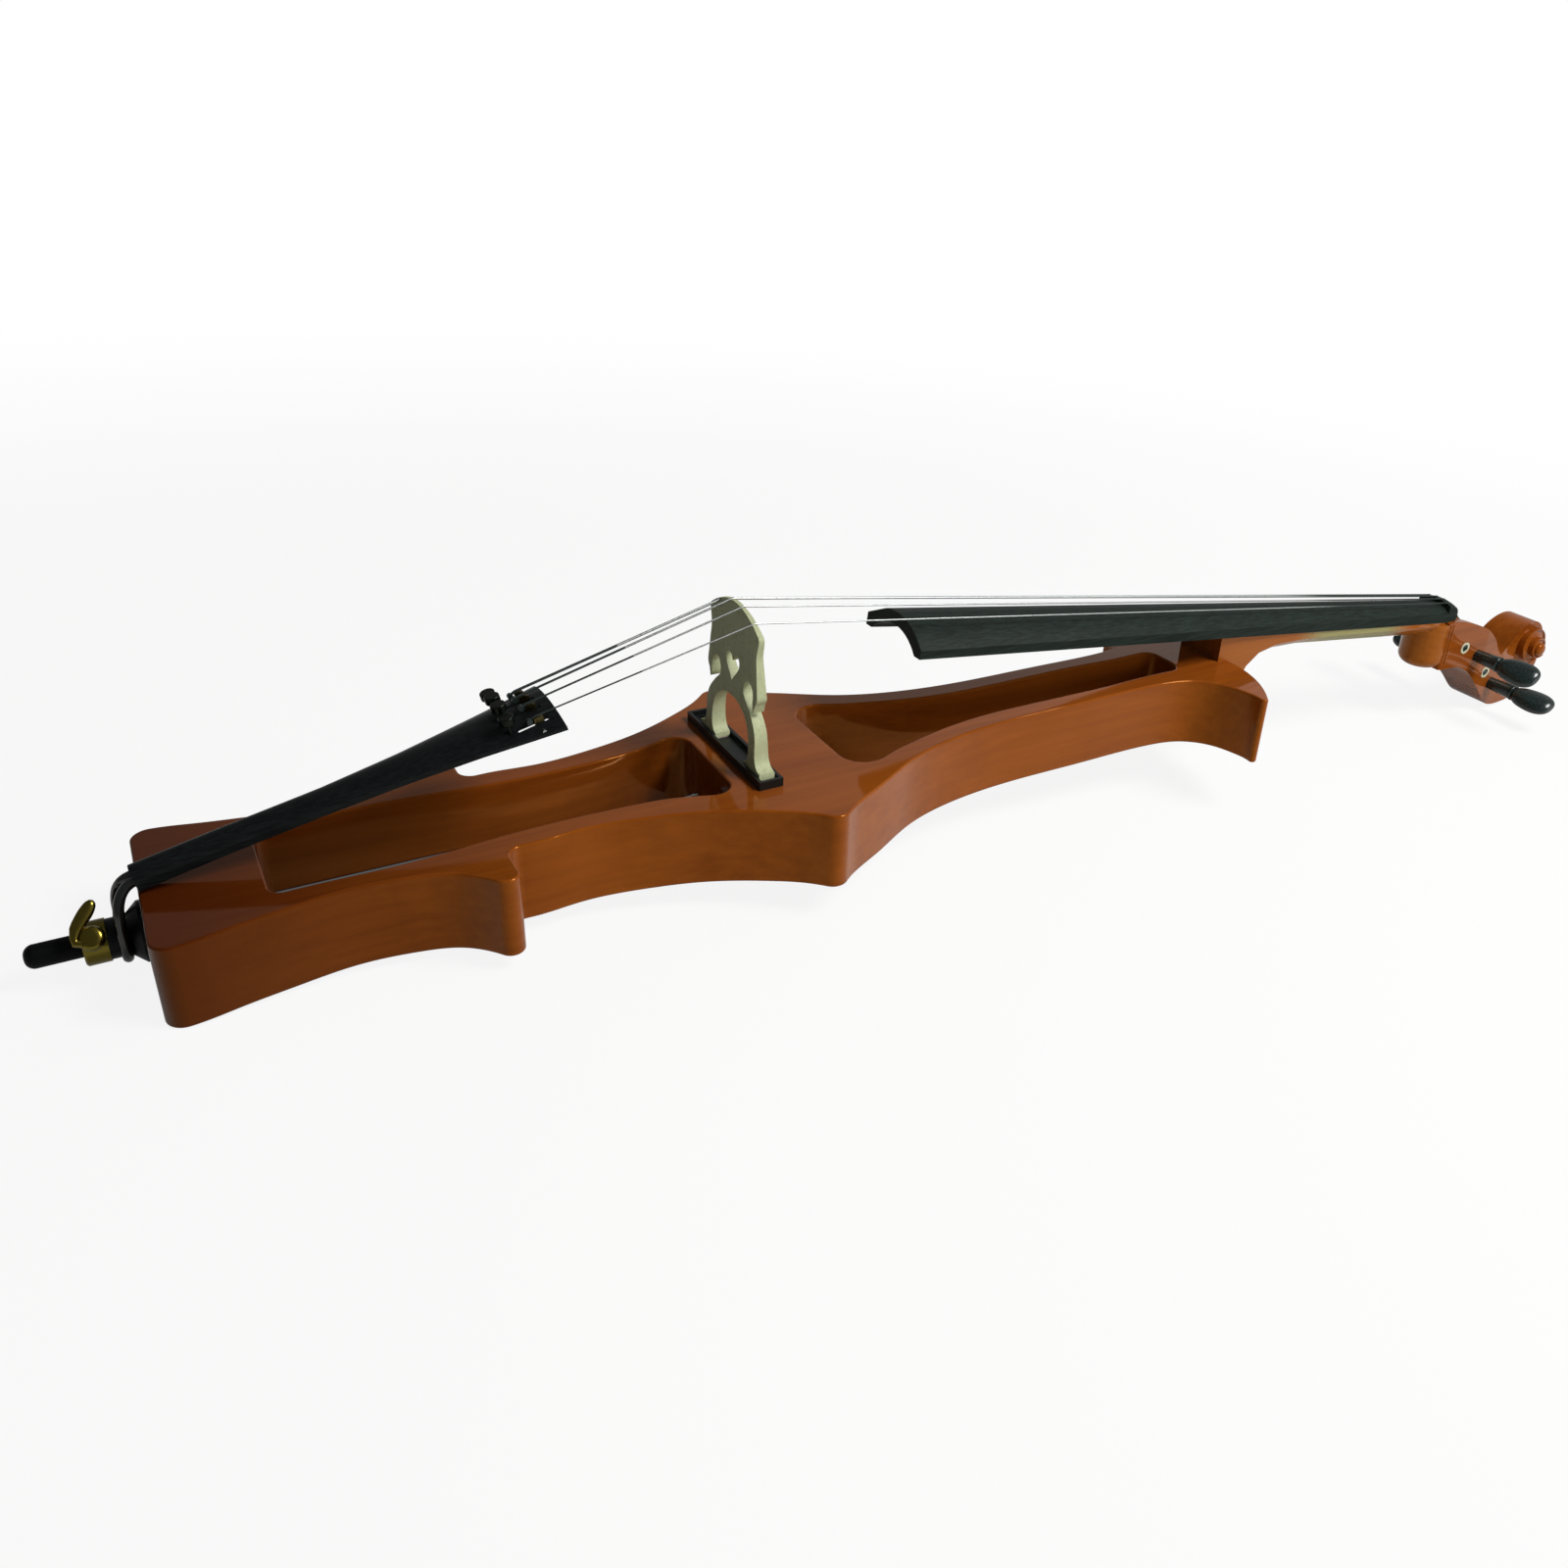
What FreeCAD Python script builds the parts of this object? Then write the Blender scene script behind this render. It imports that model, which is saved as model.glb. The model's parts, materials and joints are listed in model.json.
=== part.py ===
# Electric cello with a solid slab body, lying on its back.
# Millimetres. X runs from the tail to the scroll, Y to the bass side and Z up. The origin
# is on the flat back of the body, under the middle of the bridge. While the pieces are
# made X counts from the tail end face.
import math
import os
import FreeCAD
import Part

V = FreeCAD.Vector

# Clearances
run_gap = 0.06
part_gap = 0.35
string_gap = 0.05
tolerance = 0.001

# Body slab
body_length = 793.0
body_half_width = 101.0
body_depth = 53.0
edge_round = 1.5
mortise_depth = 9.5

# Half outline of the body, as shares of its length and of its half width
tail_corner_shares = [(0.0, 0.545), (0.0042, 0.632), (0.0151, 0.663)]
tail_side_shares = [(0.0151, 0.663), (0.0479, 0.614), (0.0883, 0.554), (0.1324, 0.507),
                    (0.1753, 0.535), (0.2093, 0.624), (0.2295, 0.777)]
lower_tip_shares = [(0.2295, 0.777), (0.2409, 0.807), (0.2484, 0.743)]
step_side_shares = [(0.2484, 0.743), (0.2484, 0.574)]
step_root_shares = [(0.2484, 0.574), (0.2519, 0.505), (0.261, 0.479)]
waist_side_shares = [(0.261, 0.479), (0.3052, 0.458), (0.3569, 0.495), (0.4073, 0.594),
                     (0.4539, 0.762), (0.4905, 0.966)]
apex_shares = [(0.4905, 0.966), (0.5, 0.998), (0.5089, 0.973)]
shoulder_side_shares = [(0.5089, 0.973), (0.5536, 0.767), (0.6015, 0.554), (0.6532, 0.421),
                        (0.7226, 0.351), (0.8171, 0.338), (0.8978, 0.337), (0.9319, 0.396),
                        (0.9534, 0.554), (0.9615, 0.733), (0.9628, 0.861)]
upper_tip_shares = [(0.9628, 0.861), (0.9657, 0.896), (0.9701, 0.881)]
neck_side_shares = [(0.9701, 0.881), (0.9899, 0.634), (0.9981, 0.436), (1.0, 0.248)]

# Half outlines of the two openings, in the same shares
lower_start_shares = [(0.0822, 0.0), (0.0822, 0.277)]
lower_tail_corner_shares = [(0.0822, 0.277), (0.0851, 0.347), (0.0933, 0.372)]
lower_side_shares = [(0.0933, 0.372), (0.1576, 0.373), (0.2055, 0.356), (0.2497, 0.32),
                     (0.3001, 0.3), (0.3569, 0.309), (0.3884, 0.333), (0.4161, 0.394),
                     (0.4238, 0.413)]
lower_head_corner_shares = [(0.4238, 0.413), (0.4376, 0.386), (0.4426, 0.302)]
lower_end_shares = [(0.4426, 0.302), (0.4426, 0.0)]
upper_start_shares = [(0.5486, 0.0), (0.5486, 0.277)]
upper_tail_corner_shares = [(0.5486, 0.277), (0.553, 0.391), (0.5675, 0.455)]
upper_side_shares = [(0.5675, 0.455), (0.5902, 0.406), (0.6191, 0.33), (0.6519, 0.262),
                     (0.6948, 0.206), (0.7541, 0.188), (0.8549, 0.188), (0.9306, 0.178)]
upper_head_corner_shares = [(0.9306, 0.178), (0.9395, 0.152), (0.9433, 0.089)]
upper_end_shares = [(0.9433, 0.089), (0.9433, 0.0)]

# Strings, from the bass side to the treble side
string_names = ["c", "g", "d", "a"]
string_place_shares = [1.0, 0.33, -0.33, -1.0]
string_diameters = [1.8, 1.5, 1.25, 1.0]
string_length = 688.0
bridge_place_share = 0.4691
bridge_half_spread = 23.8
nut_half_spread = 10.8
string_height_outer = 104.2
string_height_inner = 110.0
nut_string_outer = 16.6
nut_string_inner = 17.9
bridge_bend = 4.0
nut_bend = 5.0
ball_diameter = 3.6

# Neck, fingerboard and nut
board_lean = 1.129
nut_drop = 16.3
neck_depth = 16.0
neck_nut_depth = 14.5
neck_side = 3.0
heel_half_width = 21.0
heel_belly = 10.0
heel_drop = 80.0
heel_length = 96.5
heel_shares = [(0.0, 1.0), (0.25, 1.0), (0.31, 0.7), (0.38, 0.46), (0.49, 0.32), (0.68, 0.24),
               (1.0, 0.2)]
board_length_share = 0.8362
board_half_width = 35.0
board_nut_half_width = 16.3
board_near_side = 6.2
board_far_side = 9.1
board_crown = 21.3
board_nut_side = 8.5
board_nut_crown = 14.4
facet_share = 0.405
board_hollow_half_width = 28.0
board_hollow_rise = 12.3
board_hollow_end_half_width = 12.0
board_hollow_end_rise = 0.8
board_hollow_share = 0.9
nut_thickness = 13.0
nut_crown = 18.0
nut_side = 14.8
nut_round = 8.0
nut_rest_share = 0.46
chin_half_width = 20.0
chin_reach = 19.5
chin_top = 18.0
chin_bottom = 61.0
chin_round = 9.0

# Bridge, as shares of its height above the body and of half its foot spread
bridge_height = 110.2
bridge_half_foot = 46.2
bridge_offset = 1.5
bridge_foot_thickness = 11.5
bridge_crown_thickness = 2.8
crown_corner_shares = [(0.0, 1.0), (0.4, 0.969), (0.745, 0.893)]
bridge_flank_shares = [(0.745, 0.893), (0.726, 0.78), (0.744, 0.684), (0.773, 0.595), (0.8, 0.53)]
bridge_wing_shares = [(0.8, 0.53), (0.787, 0.493), (0.745, 0.47)]
bridge_beak_shares = [(0.745, 0.47), (0.704, 0.416)]
bridge_notch_shares = [(0.704, 0.416), (0.664, 0.47), (0.66, 0.533), (0.585, 0.576),
                       (0.452, 0.578), (0.378, 0.535), (0.382, 0.487), (0.466, 0.452),
                       (0.59, 0.403), (0.72, 0.337)]
bridge_leg_shares = [(0.72, 0.337), (0.778, 0.281), (0.798, 0.214), (0.83, 0.11), (0.985, 0.068)]
foot_end_shares = [(0.985, 0.068), (1.0, 0.032)]
foot_sole_shares = [(1.0, 0.032), (0.46, 0.032)]
foot_toe_shares = [(0.46, 0.032), (0.47, 0.06)]
bridge_arch_shares = [(0.47, 0.06), (0.572, 0.094), (0.6, 0.158), (0.588, 0.23), (0.502, 0.32),
                      (0.307, 0.386), (0.0, 0.41)]
heart_side_shares = [(0.0, 0.503), (0.12, 0.565), (0.2, 0.61), (0.21, 0.65), (0.14, 0.68),
                     (0.06, 0.67), (0.0, 0.633)]

# Pickup tray and strips
tray_length = 17.0
tray_near = 51.0
tray_far = 63.6
tray_height = 6.0
tray_wall = 2.2
tray_floor = 2.5
strip_width = 10.0

# Pegbox and scroll, as shares of the pegbox length from its joint with the neck
pegbox_length = 162.3
pegbox_joint = 1.7
pegbox_top_shares = [(0.0, -0.102), (0.1, -0.105), (0.193, -0.129), (0.291, -0.166),
                     (0.347, -0.191), (0.409, -0.234), (0.458, -0.277), (0.501, -0.333),
                     (0.563, -0.394)]
scroll_shares = [(0.563, -0.394), (0.615, -0.345), (0.655, -0.3), (0.717, -0.258),
                 (0.795, -0.238), (0.87, -0.256), (0.92, -0.31), (0.945, -0.394),
                 (0.95, -0.493), (0.912, -0.61), (0.83, -0.688), (0.729, -0.719)]
pegbox_back_shares = [(0.729, -0.719), (0.661, -0.721), (0.593, -0.715), (0.526, -0.69),
                      (0.476, -0.647), (0.421, -0.585), (0.359, -0.524), (0.291, -0.456),
                      (0.224, -0.413), (0.156, -0.388), (0.094, -0.382), (0.0, -0.376)]
pegbox_plan_shares = [(0.0, 0.1235), (0.37, 0.1235), (0.6, 0.102), (0.84, 0.086), (1.02, 0.084)]
cavity_shares = [(0.076, 0.0), (0.076, -0.32), (0.174, -0.333), (0.248, -0.37), (0.328, -0.425),
                 (0.396, -0.493), (0.458, -0.555), (0.507, -0.61), (0.563, -0.622),
                 (0.587, -0.579), (0.581, -0.505), (0.55, -0.407), (0.519, -0.277), (0.47, 0.0)]
cavity_half_width = 12.5
scroll_turn_shares = [(0.815, -0.385, 0.111, 0.128), (0.832, -0.4, 0.057, 0.172)]
scroll_edge = 2.0

# Pegs, each as place in the pegbox shares and the side its head is on
peg_places_shares = {"c": (0.187, -0.277), "a": (0.313, -0.345), "g": (0.439, -0.474),
                     "d": (0.526, -0.561)}
peg_sides = {"c": 1, "a": -1, "g": 1, "d": -1}
peg_small_radius = 3.25
peg_large_radius = 5.5
peg_neck_radius = 6.6
peg_collar_radius = 7.1
peg_collar_place = 41.0
peg_collar_length = 3.2
peg_collar_round = 1.2
peg_head_length = 36.0
peg_head_width = 24.0
peg_head_thickness = 13.0
peg_head_turns = {"c": 20.0, "a": 40.0, "g": -35.0, "d": 25.0}
peg_head_stations_share = [(0.0, 0.45, 0.8), (0.12, 0.75, 0.95), (0.35, 0.95, 1.0),
                           (0.7, 1.0, 0.95), (0.9, 0.8, 0.75), (1.0, 0.45, 0.4)]
peg_hole_share = 1.1
bushing_radius = 5.4
bushing_lip = 0.4

# Tailpiece, in its own frame: along its underside, across it and square to it
tailpiece_length = 251.0
tailpiece_start = 1.0
tailpiece_rise = 2.4
tailpiece_angle = 13.5
tailpiece_half_width = 31.5
tailpiece_stations_share = [(0.0, 0.254, 13.0, 5.0), (0.214, 0.283, 12.0, 4.5),
                            (0.4365, 0.378, 9.8, 3.8), (0.623, 0.508, 9.6, 3.2),
                            (0.798, 0.705, 10.2, 2.8), (0.929, 0.902, 9.4, 2.4),
                            (1.0, 1.0, 8.6, 2.2)]
tailpiece_wall = 2.4
tailpiece_hollow_start = 188.0
tailpiece_front_wall = 4.0
tail_hole_spread = 3.8
tail_hole_depth = 14.0
tail_hole_height = 6.0

# Fine tuners
tuner_half_spread = 18.9
tuner_screw_place = 220.2
tuner_axle_place = 238.0
tuner_axle_height = 2.9
tuner_axle_radius = 1.25
tuner_slot_start = 224.5
tuner_slot_end = 244.0
tuner_lever_width = 3.0
tuner_slot_gap = 0.35
tuner_arm_top = 2.8
tuner_arm_bottom = 1.0
tuner_hook_inner = 12.6
tuner_hook_outer = 9.6
tuner_hook_back = 2.6
tuner_hook_front = 3.4
tuner_hub_radius = 2.4
ball_gap = 0.9
knob_radius = 4.8
knob_height = 5.0
knob_round = 0.8
knob_clear = 6.8
screw_radius = 1.25

# Tail cord
cord_radius = 3.0
cord_bend = 11.5
cord_reach = 12.0
cord_drop = 7.0

# Endpin
endpin_level = 25.0
rod_radius = 5.0
rod_end = 343.0
rod_tail = 57.0
rod_crimp = 5.6
rod_crimp_length = 5.0
tip_radius = 6.9
tip_start = 62.5
tip_length = 29.2
tip_round = 5.5
plug_stem_radius = 12.0
plug_stem_length = 42.0
plug_radius = 11.7
plug_groove_radius = 9.5
plug_groove_place = 12.0
plug_flare_radius = 12.3
plug_flare_place = 8.5
plug_flange_radius = 18.0
plug_flange_thickness = 2.6
collar_radius = 12.5
collar_start = 33.0
collar_end = 20.0
collar_face = 2.5
collar_edge = 1.0
spigot_radius = 9.3
thumb_place = 27.0
thumb_shaft_radius = 2.0
thumb_lean = 49.7
thumb_boss_radius = 7.2
thumb_clear = 0.7
thumb_thickness = 4.0
thumb_wing = 22.0
thumb_outer_shares = [(-0.5, 0.036), (-0.455, 0.236), (-0.336, 0.527), (-0.195, 0.782),
                      (-0.036, 0.959)]
thumb_nose_shares = [(-0.036, 0.959), (0.095, 0.995), (0.218, 0.891), (0.259, 0.764)]
thumb_inner_shares = [(0.259, 0.764), (0.155, 0.618), (0.01, 0.4), (-0.16, 0.235),
                      (-0.27, 0.09), (-0.341, -0.082)]
thumb_base_shares = [(-0.341, -0.082), (-0.43, -0.06), (-0.5, 0.036)]

# Controls set into the bass side of the body
plate_length = 56.0
plate_height = 26.0
plate_thickness = 2.0
plate_along_share = 0.34
plate_sink = 0.8
pocket_length = 46.0
pocket_height = 22.0
pocket_depth = 26.0
control_pitch = 15.5
control_knob_radius = 7.0
control_knob_height = 11.0
control_knob_round = 1.4
control_knob_lift = 1.0
pot_radius = 6.8
pot_depth = 7.0
pot_bush_radius = 4.5
pot_shaft_radius = 3.0
jack_radius = 5.5
jack_length = 34.0
jack_bore_radius = 3.2
jack_bore_length = 31.0
jack_nut_radius = 6.4
jack_nut_height = 2.4
plate_screw_radius = 1.5
plate_screw_head = 2.6
plate_screw_length = 9.0
plate_screw_inset = 2.6
board_card_length = 40.0
board_card_height = 18.0
board_card_thickness = 1.6
chip_length = 9.0
chip_width = 6.0
chip_height = 2.2

# Battery let in from the back
battery_length = 48.5
battery_width = 26.5
battery_height = 17.5
battery_slack = 1.0
battery_place_share = 0.4956
battery_offset = 16.0
door_margin = 5.0
door_thickness = 2.0
door_screw_radius = 1.4
door_screw_head = 2.6
door_screw_length = 9.0
lead_radius = 1.1
lead_channel_radius = 1.8

# Values worked out from those above
bridge_x = bridge_place_share * body_length
nut_x = bridge_x + string_length
root_x = body_length - mortise_depth
top = body_depth
string_angle = math.degrees(math.atan2(string_height_inner + nut_drop - nut_string_inner,
                                       string_length))
neck_angle = string_angle - board_lean
overstand = (nut_x - root_x) * math.tan(math.radians(neck_angle)) - nut_drop
board_run = math.hypot(nut_x - root_x, overstand + nut_drop)
board_length = board_length_share * string_length
board_overhang = board_length - board_run
pegbox_x = nut_x + pegbox_joint
plug_x = -plug_groove_place
tray_x = bridge_x - tray_length / 2


def arc_edge(points):
    return Part.Arc(points[0], points[1], points[2]).toShape()


def line_edge(start, end):
    return Part.LineSegment(start, end).toShape()


# A chain of edges from point lists: two points make a line, three an arc,
# more a curve that leaves and meets its neighbouring arcs smoothly.
def chain(point_lists):
    edges = []
    for place, points in enumerate(point_lists):
        if len(points) == 2:
            edges.append(line_edge(points[0], points[1]))
        elif len(points) == 3:
            edges.append(arc_edge(points))
        else:
            curve = Part.BSplineCurve()
            before = point_lists[place - 1] if place else []
            after = point_lists[place + 1] if place + 1 < len(point_lists) else []
            if len(before) == 3 and len(after) == 3:
                arc_in = Part.Arc(before[0], before[1], before[2])
                arc_out = Part.Arc(after[0], after[1], after[2])
                curve.interpolate(Points=points,
                                  InitialTangent=arc_in.tangent(arc_in.LastParameter)[0],
                                  FinalTangent=arc_out.tangent(arc_out.FirstParameter)[0])
            else:
                curve.interpolate(points)
            edges.append(curve.toShape())
    return edges


def face_of(edges):
    return Part.Face(Part.Wire(Part.__sortEdges__(edges)))


def ring_face(points):
    return Part.Face(Part.makePolygon(points + [points[0]]))


def both_sides(half):
    return half.fuse(half.mirror(V(0, 0, 0), V(0, 1, 0))).removeSplitter()


# Half outlines in the plan of the body, raised by height
def plan_points(shares):
    return [V(x * body_length, y * body_half_width, 0) for x, y in shares]


def plan_slab(share_lists, height):
    lists = [plan_points(shares) for shares in share_lists]
    start = lists[0][0]
    end = lists[-1][-1]
    edges = chain(lists)
    if start.y > 0:
        edges.append(line_edge(V(start.x, 0, 0), start))
    if end.y > 0:
        edges.append(line_edge(end, V(end.x, 0, 0)))
    edges.append(line_edge(V(end.x, 0, 0), V(start.x, 0, 0)))
    return both_sides(face_of(edges).extrude(V(0, 0, height)))


# A solid turned about the endpin axis from (x, radius) points
def turned(points):
    outline = [V(x, 0, radius) for x, radius in points]
    solid = ring_face(outline).revolve(V(0, 0, 0), V(1, 0, 0), 360)
    solid.translate(V(0, 0, endpin_level))
    return solid


def rod_between(start, end, radius):
    along = end.sub(start)
    return Part.makeCylinder(radius, along.Length, start, along)


# A path of straight runs whose corners are rounded, each corner with its own radius
def rounded_path(points, bends):
    edges = []
    last = points[0]
    for place, bend in enumerate(bends):
        corner = points[place + 1]
        inward = corner.sub(last).normalize()
        outward = points[place + 2].sub(corner).normalize()
        turn = inward.getAngle(outward)
        reach = bend * math.tan(turn / 2)
        start = corner.sub(V(inward).multiply(reach))
        end = corner.add(V(outward).multiply(reach))
        middle_way = V(outward).sub(inward).normalize()
        sag = bend / math.cos(turn / 2) - bend
        middle = corner.add(middle_way.multiply(sag))
        edges.append(line_edge(last, start))
        edges.append(arc_edge([start, middle, end]))
        last = end
    edges.append(line_edge(last, points[-1]))
    return edges


def swept(edges, radius):
    path = Part.Wire(edges)
    start = edges[0].firstVertex().Point
    way = edges[0].tangentAt(edges[0].FirstParameter)
    ring = Part.Wire([Part.makeCircle(radius, start, way)])
    return path.makePipeShell([ring], True, False)


# Frames of the slanted parts
neck_frame = FreeCAD.Placement(V(root_x, 0, top + overstand), FreeCAD.Rotation(V(0, 1, 0), neck_angle))
tail_frame = FreeCAD.Placement(V(tailpiece_start, 0, top + tailpiece_rise),
                               FreeCAD.Rotation(V(0, 1, 0), -tailpiece_angle))
thumb_frame = FreeCAD.Placement(V(-thumb_place, 0, endpin_level),
                                FreeCAD.Rotation(V(1, 0, 0), thumb_lean))
apex_end = plan_points(shoulder_side_shares)[0]
plate_way = plan_points(shoulder_side_shares)[2].sub(apex_end)
plate_middle = apex_end.add(V(plate_way).multiply(plate_along_share))
plate_normal = V(-plate_way.y, plate_way.x, 0)
plate_frame = FreeCAD.Placement(
    plate_middle.add(V(0, 0, body_depth / 2)),
    FreeCAD.Rotation(plate_way, V(0, 0, -1), plate_normal, "ZXY"))


def placed(shape, frame):
    moved = shape.copy()
    moved.Placement = frame.multiply(moved.Placement)
    return moved


# Box with its middle at the given place in X and Y, standing on the given level
def centred_box(length, width, height, x, y, z):
    return Part.makeBox(length, width, height, V(x - length / 2, y - width / 2, z))


def pegbox_point(share, y=0.0):
    return V(pegbox_x + share[0] * pegbox_length, y, top + share[1] * pegbox_length)


# Half width of the pegbox outside at a place given in shares of its length
def pegbox_half_width(along):
    for first, second in zip(pegbox_plan_shares, pegbox_plan_shares[1:]):
        if along <= second[0]:
            part = (along - first[0]) / (second[0] - first[0])
            return (first[1] + (second[1] - first[1]) * part) * pegbox_length
    return pegbox_plan_shares[-1][1] * pegbox_length


def peg_radius_at(name, y):
    side = peg_sides[name]
    half = pegbox_half_width(peg_places_shares[name][0])
    part = (y * side + half) / (2 * half)
    return peg_small_radius + (peg_large_radius - peg_small_radius) * part


# Height of a rise that falls away from its crown to its sides on one arc
def arc_height(crown, side, half_width, y):
    sag = crown - side
    radius = (half_width ** 2 + sag ** 2) / (2 * sag)
    return crown - radius + math.sqrt(radius ** 2 - y ** 2)


def string_level(share, inner, outer):
    return inner if abs(share) < 1 else outer


# A point on a circle about an axle, at an angle back from straight up
def hook_point(axle, radius, angle):
    return V(axle.x - radius * math.sin(angle), axle.y, axle.z + radius * math.cos(angle))


# One string: over its hook, the bridge and the nut, then half round its peg
def make_string(place):
    name = string_names[place]
    share = string_place_shares[place]
    radius = string_diameters[place] / 2
    hook_top = string_level(share, tuner_hook_inner, tuner_hook_outer)
    hook = hook_top - tuner_axle_height + part_gap + radius
    axle = tail_frame.multVec(V(tuner_axle_place, share * tuner_half_spread, tuner_axle_height))
    bridge = V(bridge_x, share * bridge_half_spread,
               top + string_level(share, string_height_inner, string_height_outer))
    reach = V(bridge.x - axle.x, 0, bridge.z - axle.z)
    lean = math.atan2(reach.z, reach.x) + math.asin(hook / reach.Length)
    wrap = math.radians(tailpiece_angle) + math.asin(
        (tuner_hook_back + ball_gap + ball_diameter / 2) / hook)
    begin = hook_point(axle, hook, wrap)
    leave = hook_point(axle, hook, lean)
    hook_arc = arc_edge([begin, hook_point(axle, hook, (wrap + lean) / 2), leave])
    nut_level = string_level(share, nut_string_inner, nut_string_outer)
    nut_y = share * nut_half_spread
    nut_front = neck_frame.multVec(V(board_run, nut_y, nut_level))
    nut_back = neck_frame.multVec(V(board_run + nut_rest_share * nut_thickness, nut_y, nut_level))
    peg = pegbox_point(peg_places_shares[name], nut_y)
    coil = peg_radius_at(name, nut_y) + part_gap + radius
    reach = V(peg.x - nut_back.x, 0, peg.z - nut_back.z)
    lean = math.atan2(reach.z, reach.x) + math.asin(coil / reach.Length)
    touch = hook_point(peg, coil, lean)
    run = rounded_path([leave, bridge, nut_front, nut_back, touch],
                       [bridge_bend, nut_bend, nut_bend])
    turn = arc_edge([touch, hook_point(peg, coil, lean - math.pi / 2),
                     hook_point(peg, coil, lean - math.pi)])
    cord = swept([hook_arc] + run + [turn], radius)
    ball = Part.makeCylinder(ball_diameter / 2, tuner_lever_width,
                             V(begin.x, begin.y - tuner_lever_width / 2, begin.z), V(0, 1, 0))
    return cord.fuse(ball).removeSplitter()


# Sections across the fingerboard: flat underside, arched top with one flat facet
def board_section(x, half_width, near, far, crown):
    sag = crown - near
    radius = (half_width ** 2 + sag ** 2) / (2 * sag)
    facet_y = half_width * facet_share
    half_y = (facet_y - half_width) / 2

    def on_arc(y):
        return V(x, y, crown - radius + math.sqrt(radius ** 2 - y ** 2))

    edges = [line_edge(V(x, half_width, 0), V(x, -half_width, 0)),
             line_edge(V(x, -half_width, 0), on_arc(-half_width)),
             arc_edge([on_arc(-half_width), on_arc(half_y), on_arc(facet_y)]),
             line_edge(on_arc(facet_y), V(x, half_width, far)),
             line_edge(V(x, half_width, far), V(x, half_width, 0))]
    return Part.Wire(edges)


def bow_section(x, half_width, rise):
    edges = [line_edge(V(x, half_width, 0), V(x, -half_width, 0)),
             arc_edge([V(x, -half_width, 0), V(x, 0, rise), V(x, half_width, 0)])]
    return Part.Wire(edges)


def make_fingerboard():
    start = -board_overhang
    solid = Part.makeLoft([
        board_section(start, board_half_width, board_near_side, board_far_side, board_crown),
        board_section(board_run, board_nut_half_width, board_nut_side, board_nut_side,
                      board_nut_crown)], True, True)
    hollow = Part.makeLoft([
        bow_section(start, board_hollow_half_width, board_hollow_rise),
        bow_section(start + board_overhang * board_hollow_share, board_hollow_end_half_width,
                    board_hollow_end_rise)], True, True)
    return placed(solid.cut(hollow), neck_frame)


def board_half_at(x):
    part = (x + board_overhang) / board_length
    return board_half_width + (board_nut_half_width - board_half_width) * part


# Section across the neck: flat top, straight sides and a round belly
def neck_section(x, half_width, side, depth):
    edges = [line_edge(V(x, half_width, -side), V(x, half_width, 0)),
             line_edge(V(x, half_width, 0), V(x, -half_width, 0)),
             line_edge(V(x, -half_width, 0), V(x, -half_width, -side)),
             arc_edge([V(x, -half_width, -side), V(x, 0, -depth), V(x, half_width, -side)])]
    return Part.Wire(edges)


def make_neck():
    sections = []
    for along, deep in heel_shares:
        x = along * heel_length
        depth = deep * heel_drop
        side = max(neck_side, depth - heel_belly)
        sections.append(neck_section(x, min(heel_half_width, board_half_at(x)), side, depth))
    heel = Part.makeLoft(sections, True, True)
    depth = heel_shares[-1][1] * heel_drop
    shaft = Part.makeLoft([
        neck_section(heel_length, min(heel_half_width, board_half_at(heel_length)),
                     max(neck_side, depth - heel_belly), depth),
        neck_section(board_run, board_nut_half_width, neck_side, neck_nut_depth)], True, True)
    solid = placed(heel.fuse(shaft), neck_frame)
    below = Part.makeBox(board_run, 4 * heel_half_width, body_depth,
                         V(root_x - mortise_depth, -2 * heel_half_width, -body_depth))
    behind = Part.makeBox(mortise_depth * 2, 4 * heel_half_width, 4 * body_depth,
                          V(root_x - mortise_depth * 2, -2 * heel_half_width, -body_depth))
    solid = solid.cut(below).cut(behind)
    return solid.fuse(make_chin()).cut(nut_blank()).removeSplitter()


# Half round block below the nut, in the plan an arc that meets the pegbox
def make_chin():
    level = top - chin_bottom
    side = chin_half_width
    edges = [arc_edge([V(pegbox_x, -side, level), V(pegbox_x - chin_reach, 0, level),
                       V(pegbox_x, side, level)]),
             line_edge(V(pegbox_x, side, level), V(pegbox_x, -side, level))]
    solid = face_of(edges).extrude(V(0, 0, chin_bottom - chin_top))
    rim = [edge for edge in solid.Edges
           if edge.BoundBox.ZMax < level + tolerance and edge.BoundBox.XMin < pegbox_x - tolerance]
    return solid.makeFillet(chin_round, rim)


def nut_blank():
    half = board_nut_half_width
    edges = [line_edge(V(board_run, half, 0), V(board_run, -half, 0)),
             line_edge(V(board_run, -half, 0), V(board_run, -half, nut_side)),
             arc_edge([V(board_run, -half, nut_side), V(board_run, 0, nut_crown),
                       V(board_run, half, nut_side)]),
             line_edge(V(board_run, half, nut_side), V(board_run, half, 0))]
    solid = face_of(edges).extrude(V(nut_thickness, 0, 0))
    rear = [edge for edge in solid.Edges
            if edge.BoundBox.XMin > board_run + nut_thickness - tolerance
            and edge.BoundBox.ZMin > nut_side - tolerance]
    return placed(solid.makeFillet(nut_round, rear), neck_frame)


def make_nut(strings):
    solid = nut_blank()
    for string in strings:
        solid = solid.cut(string)
    return max(solid.Solids, key=lambda piece: piece.Volume)


def bridge_points(shares):
    return [V(0, y * bridge_half_foot, top + z * bridge_height) for y, z in shares]


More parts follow.
